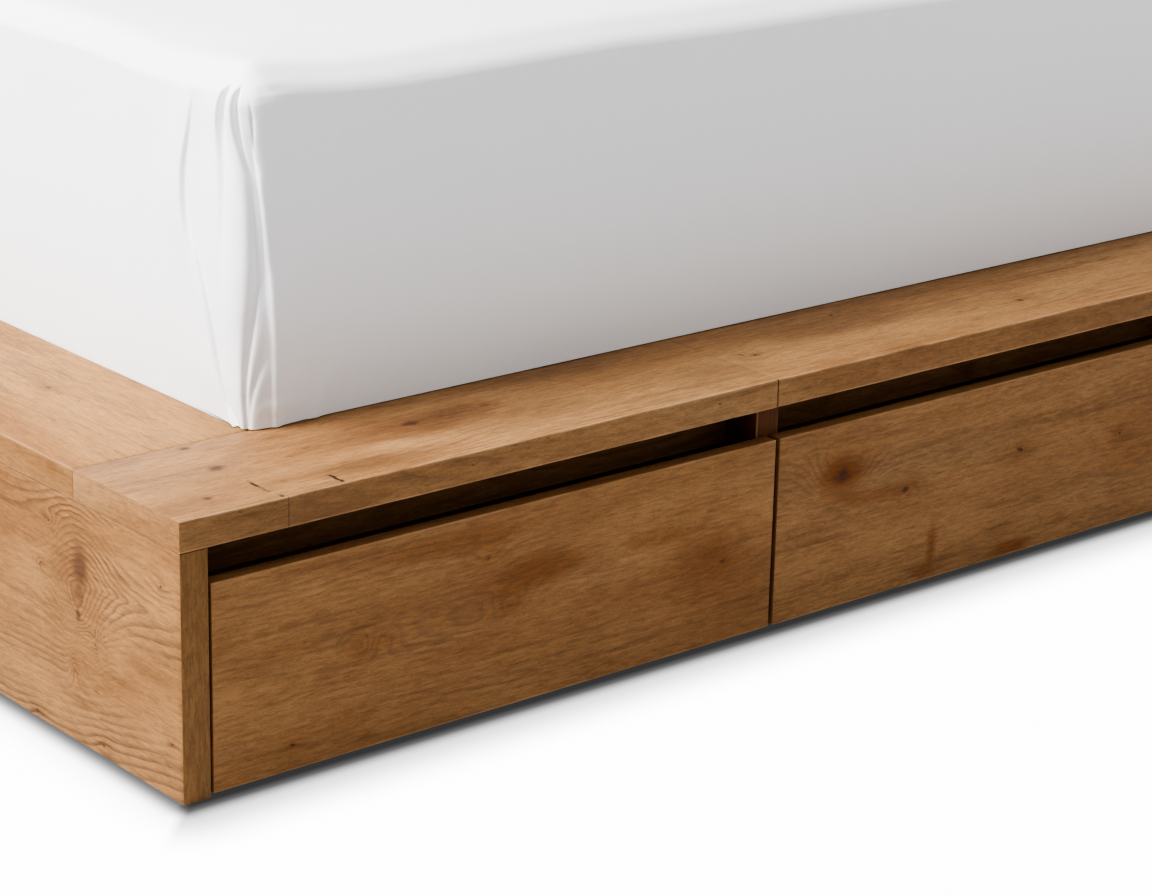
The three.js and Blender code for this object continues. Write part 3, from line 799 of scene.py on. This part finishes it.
MATTRESS_LOW, MATTRESS_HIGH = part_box("mattress")
MATTRESS_MIDDLE = (MATTRESS_LOW + MATTRESS_HIGH) / 2
HALF_LENGTH = (MATTRESS_HIGH.x - MATTRESS_LOW.x) / 2
HALF_WIDTH = (MATTRESS_HIGH.y - MATTRESS_LOW.y) / 2
SHEET_THICKNESS = 1.2 * MM
CORNER_RADIUS = 30 * MM
WALL_TOP = MATTRESS_HIGH.z - 11 * MM  # where the side walls start to round over
UNDER_ROUND = 9 * MM
CORE_INSET = 2.6 * MM  # the foam block lies this far inside the sheet's walls
CORE_DROP = 3 * MM  # and this far under its top
HEM_TURN = 85 * MM  # the sheet is turned this far under the mattress
FOLD_TOP = 0.668  # the folds are looked up between the ledge and this height
SIDE_PRESS = 8.0 * MM  # the soft sides spread over the edge of the ledge


def smoothstep(low, high, value):
    t = np.clip((value - low) / (high - low), 0, 1)
    return t * t * (3 - 2 * t)


def ripple(points, scale, seed, octaves=3):
    """Smooth seeded noise from a sum of waves, about -1 to 1."""
    rng = np.random.default_rng(seed)
    total = np.zeros(points.shape[:-1])
    for octave in range(octaves):
        for _ in range(7):
            direction = rng.normal(size=3)
            direction /= np.linalg.norm(direction)
            frequency = 2 * math.pi * 1.9**octave * rng.uniform(0.7, 1.3)
            total += np.sin(frequency * ((points / scale) @ direction) + rng.uniform(0, 6.28)) / 1.8**octave
    return total / 6.0


def curve_through(points):
    """A smooth function through (height, value) pairs, level beyond its ends."""
    heights, values = np.array(sorted(points)).T
    slopes = np.gradient(values, heights)

    def at(z):
        z = np.clip(z, heights[0], heights[-1])
        i = np.clip(np.searchsorted(heights, z) - 1, 0, len(heights) - 2)
        h = heights[i + 1] - heights[i]
        t = (z - heights[i]) / h
        a = (2 * t**3 - 3 * t**2 + 1) * values[i] + (t**3 - 2 * t**2 + t) * h * slopes[i]
        return a + (3 * t**2 - 2 * t**3) * values[i + 1] + (t**3 - t**2) * h * slopes[i + 1]

    return at


def crown_curve():
    """The top's section from the wall inwards: a tight edge that flattens into a low crown.
    Returns distances inwards and rises, both from the top of the wall."""
    run = np.array([0, 2, 6, 13, 21, 30, 35, 40, 47, 57, 75, 95]) * MM
    slope = np.radians([90, 73, 67, 58, 50, 42, 33, 20, 12.5, 7, 3, 0])
    along = np.concatenate([np.arange(0, 0.06, 0.5 * MM), np.arange(0.06, 0.9, 5 * MM)])
    angle = np.interp(along, run, slope)
    step = np.diff(along)
    middle = 0.5 * (angle[1:] + angle[:-1])
    inward = np.concatenate([[0], np.cumsum(step * np.cos(middle))])
    rise = np.concatenate([[0], np.cumsum(step * np.sin(middle))])
    return inward, rise


CROWN_INWARD, CROWN_RISE = crown_curve()
SHOULDER = 22 * MM  # the part of that section that keeps to the outline's round corners


def crown(inward):
    return WALL_TOP + np.interp(inward, CROWN_INWARD, CROWN_RISE)


def path(*points):
    """A smooth curve through points in mm, as a function of the height in metres that gives metres."""
    return curve_through([(height * MM, value * MM) for height, value in points])


def beside(line, gap):
    return lambda z: line(z) + gap * MM


# The gathered corner. Every line is (height, walk) in mm: the height from the floor, and the walk
# round the corner from its middle, negative on the short face and positive on the long side.
CREASE = path((665, -75), (610, -90), (570, -101), (540, -104), (510, -99), (480, -82), (440, -65),
              (400, -52), (350, -38), (320, -24), (300, -10))
UPPER_CREASE = path((655, -79), (610, -90), (560, -103), (530, -104), (500, -99.5), (470, -90.5), (440, -81))
STRIP_MIDDLE = path((668, -40), (620, -48), (560, -58), (510, -55), (470, -42), (440, -30), (400, -24.5),
                    (350, -20), (300, -8.5))
PLEAT = path((667, -19), (640, -28), (625, -31.5), (600, -31), (570, -27), (450, -27), (380, -24),
             (330, -16), (300, -6.5))
PLEAT_EDGE = path((667, -13), (650, -19), (630, -20.5), (600, -16), (580, -11.5))
SECOND_PLEAT = path((667, -2), (655, -7.5), (640, -9.5), (620, -8.5), (590, -2), (560, 6), (550, 8.5))
STRIP_EDGE = path((600, -3), (560, 2), (530, 5), (495, 6), (450, 4.5), (400, 0.5), (360, -1.5), (330, -2),
                  (310, -1))
INNER = path((667, -3.5), (645, -6.5), (620, -5), (590, 0), (560, 7), (530, 10), (500, 11), (465, 11),
             (440, 8.5), (400, 4.5), (370, 1.5), (350, 0.5), (300, 0.5))
SLIT = path((652, 2), (640, 3.5), (615, 5.5), (590, 8))
RIDGE = path((667, 3), (645, 5.5), (590, 8.5), (560, 11), (515, 14), (440, 17.5), (390, 20), (340, 20.5),
             (300, 21))
POCKET = path((440, 14), (415, 12), (390, 10), (360, 5.5), (345, 3), (320, 1), (300, 0))
SMALL_FOLD = path((374, 14.5), (356, 8.5), (340, 5), (320, 3), (300, 2))
SMALL_FOLD_BACK = path((374, 18.5), (356, 14.5), (340, 11.5), (300, 9))
HEM_FOLD = path((334, 12.5), (320, 8), (300, 5))


def even(width):
    """The same width in mm at every height."""
    return lambda z: width * MM


# What the cloth does along those lines: (line, lift, width). A lift above 0 is a rise towards the long
# side and below 0 a fall, and each is spread over its width.
CORNER_STEPS_OF_CLOTH = (
    # the loose strip between the crease and the ridge
    (beside(CREASE, -36), path((668, 2), (640, 5.5), (600, 6.5), (500, 7), (400, 5.5), (300, 4.5)), even(54)),
    (UPPER_CREASE, path((655, 0), (625, -2.5), (600, -4), (560, -5.5), (500, -5), (470, -2.5), (430, 0)),
     even(4)),
    (beside(CREASE, -5), path((500, 0), (475, 1.5), (420, 2), (300, 2)), even(4.5)),
    (CREASE, path((500, 0), (480, -2.5), (440, -5.5), (400, -6), (345, -6.5), (300, -7.5)), even(1.6)),
    (beside(CREASE, 5), path((500, 0), (480, 1), (440, 3), (350, 3.5), (300, 4)), even(5)),
    (STRIP_MIDDLE, path((668, 1), (640, 7), (600, 7.5), (520, 9.5), (430, 8.5), (350, 5), (300, 3)),
     path((640, 50), (500, 46), (450, 50), (360, 28), (300, 9))),
    # two pleats that fade downwards
    (PLEAT, path((669, 0), (655, -9), (640, -10), (625, -9), (600, -7), (570, -5), (520, -3), (460, -1),
                 (430, 0)), path((655, 4), (625, 4), (600, 5.5), (570, 8), (520, 14), (450, 20))),
    (PLEAT_EDGE, path((669, 0), (653, 8), (630, 8), (600, 5), (575, 1.5), (555, 0)), even(8)),
    (SECOND_PLEAT, path((670, 0), (655, -10), (640, -11.5), (620, -11.5), (590, -8.5), (560, -3.5), (535, 0)),
     even(4.5)),
    # the strip turns away before the ridge
    (STRIP_EDGE, path((615, 0), (575, -4), (530, -14), (450, -16), (400, -12), (340, -9), (300, -7)),
     path((560, 10), (500, 13), (440, 11), (400, 8), (350, 5.5), (300, 5))),
    # a narrow loop at the top, with its slit
    (INNER, path((668, 0), (655, 6.5), (620, 7), (585, 5), (560, 3), (540, 0)), even(3.5)),
    (SLIT, path((646, 0), (632, -4), (610, -4), (588, -2), (572, 0)), even(1.8)),
    # the ridge
    (beside(RIDGE, -1), path((648, 0), (630, 4.5), (600, 5), (560, 8), (500, 11), (460, 10), (430, 6.5),
                             (390, 4.5), (340, 4), (300, 3)), path((620, 2.2), (560, 3), (300, 2.8))),
    (beside(RIDGE, 7), path((668, -4), (600, -4.5), (500, -5), (400, -4), (300, -3)), even(12)),
    # the fold that opens from the ridge down to the ledge, its pocket and the small fold inside it
    (INNER, path((474, 0), (450, 3.5), (420, 5.5), (370, 6), (300, 5)), even(3)),
    (POCKET, path((440, 0), (410, -2), (380, -3.5), (350, -3.5), (300, -2)),
     path((400, 6), (350, 4), (300, 3))),
    (SMALL_FOLD, path((376, 0), (360, 2), (340, 3), (300, 2.5)), even(3)),
    (SMALL_FOLD_BACK, path((376, 0), (350, -2), (300, -1.5)), even(6)),
    (HEM_FOLD, path((334, 0), (324, 1), (312, 0)), even(2.5)),
)
FADE_START = 30 * MM  # the folds fade out this far past the ridge, over the width below
FADE_WIDTH = 45 * MM
DEEPEST = 1 * MM  # no fold cuts deeper than this into the mattress
BASE_PLEAT_WIDTH = 8 * MM  # one faint pleat at the ledge beside the folds
BASE_PLEAT_LIFT = path((360, 0), (335, 1.8), (300, 3.2))
BASE_PLEAT = path((300, 72), (360, 92))


def spread_step(t):
    """From 0 to 1 as t goes from -0.5 to 0.5, with soft ends."""
    return 0.5 + 0.5 * np.tanh(2.6 * t)


def corner_relief(walk, z, gain):
    """How far the gathered cloth stands out, in metres."""
    relief = np.zeros_like(walk)
    total = np.zeros_like(walk)
    for line, lift, width in CORNER_STEPS_OF_CLOTH:
        amount = gain * lift(z)
        relief += amount * spread_step((walk - line(z)) / width(z))
        total += amount
    relief -= total * spread_step((walk - RIDGE(z) - FADE_START) / FADE_WIDTH)
    bump = np.exp(-(((walk - BASE_PLEAT(z)) / BASE_PLEAT_WIDTH) ** 2))
    return np.maximum(relief + gain * BASE_PLEAT_LIFT(z) * bump, -DEEPEST)


def corner_fill(walk):
    """The loose cloth fills the corner that the round mattress leaves at the ledge."""
    quarter = 0.25 * math.pi
    turn = np.clip(np.abs(walk) / CORNER_RADIUS, 0, quarter)
    return CORNER_RADIUS * (1 / np.cos(quarter - np.sqrt(turn**2 + 0.012)).clip(0.7, 1) - 1)


def outline(corner, walk, radius, half_x, half_y):
    """Points and outward directions at a walk from a corner's middle, counter-clockwise."""
    sx, sy = ((-1, -1), (1, -1), (1, 1), (-1, 1))[corner]
    centre = np.array([sx * (half_x - radius), sy * (half_y - radius)])
    half_arc = 0.25 * math.pi * radius
    turn = np.clip(walk, -half_arc, half_arc)
    angle = math.pi * (1.25 + 0.5 * corner) + turn / radius
    outward = np.stack([np.cos(angle), np.sin(angle)], axis=-1)
    along = np.stack([-np.sin(angle), np.cos(angle)], axis=-1)
    return centre + radius * outward + (walk - turn)[..., None] * along, outward


def divide(start, end, count, fine, coarse):
    """For each row, that many columns from start to end, close together near both."""
    columns = np.empty((len(start), count))
    for row, (a, b) in enumerate(zip(start, end)):
        at = np.linspace(0, b - a, 160)
        density = 1 / (fine + (coarse - fine) * smoothstep(5 * MM, 28 * MM, np.minimum(at, b - a - at)))
        total = np.concatenate([[0], np.cumsum(0.5 * (density[1:] + density[:-1]))])
        columns[row] = a + np.interp(np.linspace(0, total[-1], count + 1)[:-1], total, at)
    return columns


REACH_SHORT, REACH_LONG = 0.19, 0.13  # how far a gathered corner reaches along the two walls
CORNER_GAINS = (1.0, 0.85, 0.95, 0.8)
CORNER_COUNTS = ((30, 38, 44, 15, 30), *3 * ((14, 20, 22, 10, 18),))  # columns between the folds


def sheet_columns(heights, wall_step):
    """For every corner, the walks of its columns at each height, and those of the wall after it."""
    level = np.ones_like(heights)
    blocks = []
    for corner in range(4):
        mirrored = corner in (1, 3)
        guides = [-REACH_SHORT * level, *(line(heights) for line in (CREASE, PLEAT, INNER, RIDGE)),
                  REACH_LONG * level]
        counts = CORNER_COUNTS[corner]
        if mirrored:
            guides = [-guide for guide in reversed(guides)]
            counts = counts[::-1]
        for start, end, count in zip(guides, guides[1:], counts):
            blocks.append((corner, divide(start, end, count, 0.9 * MM, 5.0 * MM)))
        wall = 2 * ((HALF_LENGTH if corner % 2 == 0 else HALF_WIDTH) - CORNER_RADIUS)
        wall += 0.5 * math.pi * CORNER_RADIUS
        reach = REACH_SHORT if mirrored else REACH_LONG  # the same at both ends of a wall
        count = int((wall - 2 * reach) / wall_step)
        steps = np.linspace(reach, wall - reach, count + 1)[:-1]
        blocks.append((corner, level[:, None] * steps[None, :]))
    return blocks


def profile_rows(wall_step):
    """Rows of the sheet from the hem under the mattress, up the wall and over the shoulder: how far
    inwards from the wall, the height, and the height at which folds are looked up."""
    bottom = MATTRESS_LOW.z + SHEET_THICKNESS
    rows = [(HEM_TURN, bottom + 0.6 * MM), (0.060, bottom), (0.035, bottom), (UNDER_ROUND, bottom)]
    for k in range(1, 4):
        angle = 0.5 * math.pi * k / 4
        rows.append((UNDER_ROUND * (1 - math.sin(angle)), bottom + UNDER_ROUND * (1 - math.cos(angle))))
    close = [LEDGE_TOP + step * MM for step in (-2.5, 0.0, 0.3, 0.6, 0.9, 1.3, 1.8, 2.8, 4.6)]
    rows += [(0.0, z) for z in close]
    rows += [(0.0, z) for z in np.arange(close[-1] + wall_step, WALL_TOP - 0.4 * wall_step, wall_step)]
    walked = np.cumsum(np.hypot(np.diff(CROWN_INWARD), np.diff(CROWN_RISE)))
    for along in (0, 1.3, 2.6, 4, 5.6, 7.4, 9.4, 11.6, 14, 17, 20.5, 24, 28, 32):
        k = int(np.argmin(np.abs(walked - along * MM)))
        rows.append((CROWN_INWARD[k], WALL_TOP + CROWN_RISE[k]))
    rows.append((SHOULDER, float(crown(SHOULDER))))
    inward, height = np.array(rows).T
    return inward, height, height + 0.27 * inward * (height > WALL_TOP - 1 * MM)


def corner_height(rim):
    """The taut corners stand a little proud of the edge between them, which sinks beside them."""
    gap_x = HALF_LENGTH - np.abs(rim[:, 0])
    gap_y = HALF_WIDTH - np.abs(rim[:, 1])
    away = np.hypot(gap_x, gap_y) - 0.35 * CORNER_RADIUS
    return 5.5 * MM * np.exp(-((away / 0.070) ** 2)) - 5.5 * MM * np.exp(-(((away - 0.17) / 0.09) ** 2))


def edge_height(grid, height):
    """How far the top edge and the shoulder wave up and down."""
    near_top = smoothstep(WALL_TOP - 0.05, WALL_TOP + 0.006, height)[:, None]
    return near_top * (ripple(grid, 0.33, 7) * 2.0 * MM + corner_height(grid[-1]))


def sheet_grid(row_step, wall_step, folded, offset):
    """The sheet's points, rows by columns, over the walls and the shoulder."""
    inward, height, lookup = profile_rows(row_step)
    rise = smoothstep(LEDGE_TOP + 0.05 * MM, LEDGE_TOP + 0.9 * MM, height)[:, None]
    on_shoulder = smoothstep(WALL_TOP, crown(SHOULDER), height)[:, None]
    parts = []
    for corner, walk in sheet_columns(np.clip(lookup, LEDGE_TOP, FOLD_TOP), wall_step):
        point, outward = outline(corner, walk, CORNER_RADIUS, HALF_LENGTH + offset, HALF_WIDTH + offset)
        z = np.broadcast_to(lookup[:, None], walk.shape)
        side = np.abs(outward[..., 1])
        low_corner = (1 - smoothstep(0.30, 0.43, z)) * 0.72
        push = SIDE_PRESS * side * (1 - 0.55 * on_shoulder) + low_corner * corner_fill(walk)
        if folded:
            signed = -walk if corner in (1, 3) else walk
            near = 1 - smoothstep(0.14, 0.19, np.abs(signed))
            fade = 1 - smoothstep(0.6545, 0.6645, z)
            push = push + corner_relief(signed, z, CORNER_GAINS[corner]) * near * fade
        push = push * rise
        tilt = np.broadcast_to(on_shoulder, walk.shape) * 0.5 * math.pi
        xy = point + outward * (push * np.cos(tilt) - inward[:, None])[..., None]
        zs = height[:, None] + push * np.sin(tilt) * 0.4 * (1 - on_shoulder)
        parts.append((np.concatenate([xy, zs[..., None]], axis=-1), outward))
    grid = np.concatenate([p[0] for p in parts], axis=1)
    outward = np.concatenate([p[1] for p in parts], axis=1)
    on_wall = smoothstep(LEDGE_TOP + 2 * MM, LEDGE_TOP + 50 * MM, grid[..., 2])
    wave = ripple(grid * np.array([1, 1, 0.55]), 0.42, 5) * 1.6 * MM + ripple(grid, 0.13, 6) * 0.3 * MM
    grid[..., :2] += outward * (wave * on_wall)[..., None]
    grid[..., 2] += edge_height(grid, height)
    return grid


# how far the rings of the top lie inside the shoulder: the last is the middle line
TOP_INSETS = (0.007, 0.016, 0.028, 0.044, 0.066, 0.10, 0.15, 0.22, 0.31, 0.42, 0.55, 0.66,
              HALF_WIDTH - SHOULDER)


def cover_top(grid, insets, seam_step, drop=0.0):
    """Rings from the shoulder to the middle line. Heights depend only on the place, so that rings
    that meet on a diagonal agree. On the middle line the points of both halves keep to the same
    steps, so that the halves meet."""
    rim = grid[-1]
    limit_x, limit_y = HALF_LENGTH - SHOULDER, HALF_WIDTH - SHOULDER
    rings = []
    for inset in insets:
        ring = np.empty_like(rim)
        ring[:, 0] = np.clip(rim[:, 0], inset - limit_x, limit_x - inset)
        ring[:, 1] = np.clip(rim[:, 1], inset - limit_y, limit_y - inset)
        if inset == insets[-1]:
            ring[:, 0] = np.round(ring[:, 0] / seam_step) * seam_step
            ring[:, 1] = 0
        gap_x, gap_y = limit_x - np.abs(ring[:, 0]), limit_y - np.abs(ring[:, 1])
        near, far = np.minimum(gap_x, gap_y).clip(0), np.maximum(gap_x, gap_y)
        rounding = np.minimum(1.2 * near, 0.10) + 1e-9
        meeting = np.clip(1 - (far - near) / rounding, 0, 1)
        high = crown(SHOULDER + near - 0.25 * meeting**2 * rounding)
        ring[:, 2] = high
        edge = ripple(ring, 0.33, 7) * 2.0 * MM + corner_height(ring)
        ring[:, 2] = 0
        inner = ripple(ring, 0.5, 8) * 1.2 * MM
        blend = 1 - smoothstep(0, 0.10, near)
        ring[:, 2] = high - drop + blend * edge + (1 - blend) * inner
        rings.append(ring)
    return np.concatenate([grid, np.array(rings)])


def ring_faces(rows, count, first=0):
    faces = []
    for r in range(rows - 1):
        for k in range(count):
            n = (k + 1) % count
            a, b = first + r * count, first + (r + 1) * count
            faces.append((a + k, a + n, b + n, b + k))
    return faces


def zipper(outer, inner, outer_points, inner_points):
    """Triangles between two closed rings with different numbers of points."""
    def shares(points):
        steps = np.linalg.norm(np.diff(np.vstack([points, points[:1]]), axis=0), axis=1)
        return np.concatenate([[0], np.cumsum(steps)]) / steps.sum()

    a, b = shares(outer_points), shares(inner_points)
    i = j = 0
    faces = []
    while i < len(outer) or j < len(inner):
        here, there = outer[i % len(outer)], inner[j % len(inner)]
        if j >= len(inner) or (i < len(outer) and a[i + 1] <= b[j + 1]):
            faces.append((here, there, outer[(i + 1) % len(outer)]))
            i += 1
        else:
            faces.append((here, there, inner[(j + 1) % len(inner)]))
            j += 1
    return faces


def sheet_surface():
    """Vertices and faces of the fitted sheet: a finely folded outside and a plain inside."""
    offset = SHEET_THICKNESS / 2
    outside = cover_top(sheet_grid(3.3 * MM, 36 * MM, True, offset), TOP_INSETS, 40 * MM)
    inside = sheet_grid(26 * MM, 60 * MM, False, offset)
    inside = inside[:, np.arange(0, inside.shape[1], 4)]
    inside[..., 2] -= np.where(inside[..., 2] > WALL_TOP + 1 * MM, SHEET_THICKNESS, 0)
    inside[..., 2] += np.where(inside[..., 2] < LEDGE_TOP - 6 * MM, SHEET_THICKNESS, 0)
    inside[..., :2] *= 1 - SHEET_THICKNESS / HALF_WIDTH
    inside = cover_top(inside, (*TOP_INSETS[1:-1:2], TOP_INSETS[-1]), 260 * MM, drop=SHEET_THICKNESS)
    rows, count = outside.shape[:2]
    rows_in, count_in = inside.shape[:2]
    base = rows * count
    faces = ring_faces(rows, count)
    faces += [tuple(reversed(f)) for f in ring_faces(rows_in, count_in, base)]
    faces += zipper(list(range(count)), list(range(base, base + count_in)), outside[0], inside[0])
    return np.concatenate([outside.reshape(-1, 3), inside.reshape(-1, 3)]), faces


def cotton_material():
    material, shader, nodes = new_material("cotton_sateen")
    raw = nodes.add("TexCoord", output=3)
    soft = nodes.noise(nodes.scaled(raw, (3.0, 3.0, 3.0)), 1.0, 2.0)
    slub = nodes.noise(nodes.scaled(raw, (420.0, 420.0, 900.0)), 1.0, 2.0, 0.6)
    crumple = nodes.noise(nodes.scaled(raw, (26.0, 26.0, 14.0)), 1.0, 3.0, 0.5)
    base = nodes.mix(soft, (0.855, 0.862, 0.885), (0.885, 0.885, 0.898))
    shade = nodes.ramp(slub, 0.3, 0.7, 0.975, 1.01)
    base = nodes.mix(1.0, base, nodes.combine(shade, shade, shade), "MULTIPLY")
    rough = nodes.ramp(slub, 0.2, 0.8, 0.78, 0.9)
    height = nodes.plus(nodes.times(slub, 0.25), crumple)
    shader.inputs["Sheen Weight"].default_value = 0.15
    shader.inputs["Sheen Roughness"].default_value = 0.5
    shader.inputs["Specular IOR Level"].default_value = 0.2
    finish_surface(nodes, shader, base, rough, height, 0.5 * MM, 0.35)
    return material


def ticking_material():
    """Knitted mattress cover with a faint quilted diamond."""
    material, shader, nodes = new_material("mattress_ticking")
    raw = nodes.add("TexCoord", output=3)
    x, y, _ = nodes.split(raw)
    one = nodes.math("SINE", nodes.times(nodes.plus(x, y), 2 * math.pi / 0.06))
    two = nodes.math("SINE", nodes.times(nodes.minus(x, y), 2 * math.pi / 0.06))
    quilt = nodes.math("MINIMUM", nodes.math("ABSOLUTE", one), nodes.math("ABSOLUTE", two))
    knit = nodes.noise(nodes.scaled(raw, (700.0, 700.0, 700.0)), 1.0, 2.0)
    base = nodes.mix(nodes.ramp(quilt, 0.0, 0.3), (0.58, 0.58, 0.60), (0.74, 0.74, 0.75))
    rough = nodes.ramp(knit, 0.3, 0.7, 0.85, 0.95)
    height = nodes.plus(nodes.ramp(quilt, 0.0, 0.6), nodes.times(knit, 0.15))
    finish_surface(nodes, shader, base, rough, height, 3 * MM, 0.6)
    return material


def core_columns(radius):
    """Walks round the whole mattress for its foam block."""
    parts = []
    for corner in range(4):
        arc = 0.25 * math.pi * radius
        wall = 2 * ((HALF_LENGTH if corner % 2 == 0 else HALF_WIDTH) - CORNER_RADIUS)
        parts.append((corner, np.linspace(-arc, arc, 10)[:-1]))
        parts.append((corner, np.linspace(arc, arc + wall, 34)[:-1]))
    return parts


def add_mattress():
    """The foam block with rolled edges that the sheet is stretched over."""
    inset = CORE_INSET
    radius = CORNER_RADIUS - inset
    pieces = [outline(c, w, radius, HALF_LENGTH - inset, HALF_WIDTH - inset) for c, w in core_columns(radius)]
    place = np.concatenate([p[0] for p in pieces])
    outward = np.concatenate([p[1] for p in pieces])
    bottom, top = MATTRESS_LOW.z + 0.5 * MM, WALL_TOP - CORE_DROP
    round_low = 12 * MM
    rows = []
    for k in range(6):
        angle = 0.5 * math.pi * k / 5
        rows.append((round_low * (1 - math.sin(angle)), bottom + round_low * (1 - math.cos(angle))))
    rows += [(0.0, z) for z in np.linspace(bottom + round_low, top, 12)[1:]]
    for into in (0.6 * MM, 2 * MM, 5 * MM, 10 * MM, 16 * MM, SHOULDER):
        rows.append((into, float(crown(into)) - CORE_DROP))
    grid = np.array([np.column_stack([place - outward * into, np.full(len(place), z)]) for into, z in rows])
    grid[..., 2] += edge_height(grid, np.array([z for _, z in rows]))
    grid = cover_top(grid, TOP_INSETS[1:-1:2], 1.0, drop=CORE_DROP)
    count = len(place)
    faces = ring_faces(len(grid), count)
    faces.append(tuple(reversed(range(count))))
    faces.append(tuple(range((len(grid) - 1) * count, len(grid) * count)))
    vertices = grid.reshape(-1, 3) + np.array([MATTRESS_MIDDLE.x, MATTRESS_MIDDLE.y, 0])
    core = new_piece("mattress_core", vertices.tolist(), faces, ticking_material(), "mattress",
                     "white_cotton", 40)
    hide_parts("mattress")
    return core


def add_sheet(core):
    vertices, faces = sheet_surface()
    vertices = vertices + np.array([MATTRESS_MIDDLE.x, MATTRESS_MIDDLE.y, 0])
    piece = new_piece("fitted_sheet", vertices.tolist(), faces, cotton_material(), "mattress", "white_cotton")
    bm = bmesh.new()
    bm.from_mesh(piece.data)
    bmesh.ops.remove_doubles(bm, verts=bm.verts, dist=0.05 * MM)
    bmesh.ops.recalc_face_normals(bm, faces=bm.faces)
    for face in bm.faces:
        face.smooth = True
    bm.to_mesh(piece.data)
    bm.free()


# ---------------------------------------------------------------- stage and light


FLOOR_WHITE = 4.2  # what the camera sees of the open floor
FLOOR_GLOW = 0.30  # what the floor gives to the object, besides what it scatters


# The contact shadow away from the light and towards it: fades (from mm, to mm, share) that bring the
# floor back to full brightness away from the bed. What the shares leave of 1 is seen right at the bed.
SHADED_SHADOW = ((0, 20, 0.035), (12, 36, 0.21), (25, 115, 0.74))
LIT_SHADOW = ((0, 10, 0.045), (6, 35, 0.56), (10, 80, 0.345))


def shadow_fade(nodes, distance, fades):
    """How bright the floor is at a distance from the bed, as a part of open floor."""
    steps = [nodes.ramp(distance, start * MM, end * MM, 0.0, share) for start, end, share in fades]
    return nodes.plus(nodes.total(steps), 1 - sum(share for _, _, share in fades))


def floor_shadow(nodes):
    """The contact shadow round the resting bed, from the distance to its outline."""
    x, y, _ = nodes.split(nodes.add("TexCoord", output=3))
    middle_x, middle_y = (FOOT + HEAD) / 2, (NEAR + FAR) / 2
    out_x = nodes.minus(nodes.math("ABSOLUTE", nodes.minus(x, middle_x)), (HEAD - FOOT) / 2)
    out_y = nodes.minus(nodes.math("ABSOLUTE", nodes.minus(y, middle_y)), (FAR - NEAR) / 2)
    reach = nodes.combine(nodes.math("MAXIMUM", out_x, 0.0), nodes.math("MAXIMUM", out_y, 0.0), 0.0)
    distance = nodes.vector("LENGTH", reach, output=1)
    shaded = shadow_fade(nodes, distance, SHADED_SHADOW)
    lit = shadow_fade(nodes, distance, LIT_SHADOW)
    from_foot = nodes.minus(FOOT, x)
    on_foot_side = nodes.ramp(nodes.minus(from_foot, out_y), -0.012, 0.012)
    return nodes.plus(nodes.times(lit, on_foot_side), nodes.times(shaded, nodes.minus(1.0, on_foot_side)))


def floor_material():
    """The camera sees an even white floor with a soft contact shadow, while the object gets the
    light of a plain grey floor that glows a little."""
    material, shader, nodes = new_material("studio_floor")
    near = nodes.add("AmbientOcclusion", {"Distance": 0.08}, output=1, samples=16)
    contact = nodes.math("MINIMUM", nodes.ramp(near, 0.30, 0.80, 0.30, 1.0), floor_shadow(nodes))
    seen = nodes.add("LightPath", output=0)
    glow = nodes.times(contact, FLOOR_WHITE)
    glow = nodes.add("MapRange", {0: seen, 1: 0.0, 2: 1.0, 3: FLOOR_GLOW, 4: glow})
    nodes.tree.links.new(nodes.mix(seen, (0.36, 0.36, 0.36), (0.0, 0.0, 0.0)), shader.inputs["Base Color"])
    nodes.tree.links.new(glow, shader.inputs["Emission Strength"])
    shader.inputs["Emission Color"].default_value = (1.0, 1.0, 1.0, 1.0)
    shader.inputs["Roughness"].default_value = 0.9
    shader.inputs["Specular IOR Level"].default_value = 0.0
    return material


def add_stage():
    mesh = bpy.data.meshes.new("floor")
    reach = 30.0
    mesh.from_pydata([(-reach, -reach, 0), (reach, -reach, 0), (reach, reach, 0), (-reach, reach, 0)],
                     [], [(0, 1, 2, 3)])
    mesh.materials.append(floor_material())
    floor = bpy.data.objects.new("floor", mesh)
    bpy.context.scene.collection.objects.link(floor)


def add_light(name, toward, distance, size, power, target, color=(1, 1, 1)):
    data = bpy.data.lights.new(name, "AREA")
    data.shape = "RECTANGLE"
    data.size, data.size_y = size
    data.energy = power
    data.color = color
    light = bpy.data.objects.new(name, data)
    direction = Vector(toward).normalized()
    light.location = Vector(target) + direction * distance
    light.rotation_euler = direction.to_track_quat("Z", "Y").to_euler()
    bpy.context.scene.collection.objects.link(light)


def add_lights():
    corner = (FOOT + 0.6, NEAR + 0.5, 0.3)
    add_light("key", (-0.64, 0.20, 0.74), 7.0, (3.6, 3.6), 1150, corner)
    add_light("fill", (0.42, -0.72, 0.55), 2.6, (1.8, 1.4), 11, (HEAD - 0.35, NEAR, 0.42))
    world = bpy.data.worlds.new("studio")
    bpy.context.scene.world = world
    world.use_nodes = True
    world.node_tree.nodes["Background"].inputs[0].default_value = (1.0, 1.0, 1.0, 1.0)
    world.node_tree.nodes["Background"].inputs[1].default_value = 0.55
    view = bpy.context.scene.view_settings
    view.view_transform = "AgX"
    view.look = "AgX - High Contrast"


add_panels()
add_ledge()
add_inner_members()
add_drawers()
add_slats()
add_sheet(add_mattress())
add_stage()
add_lights()
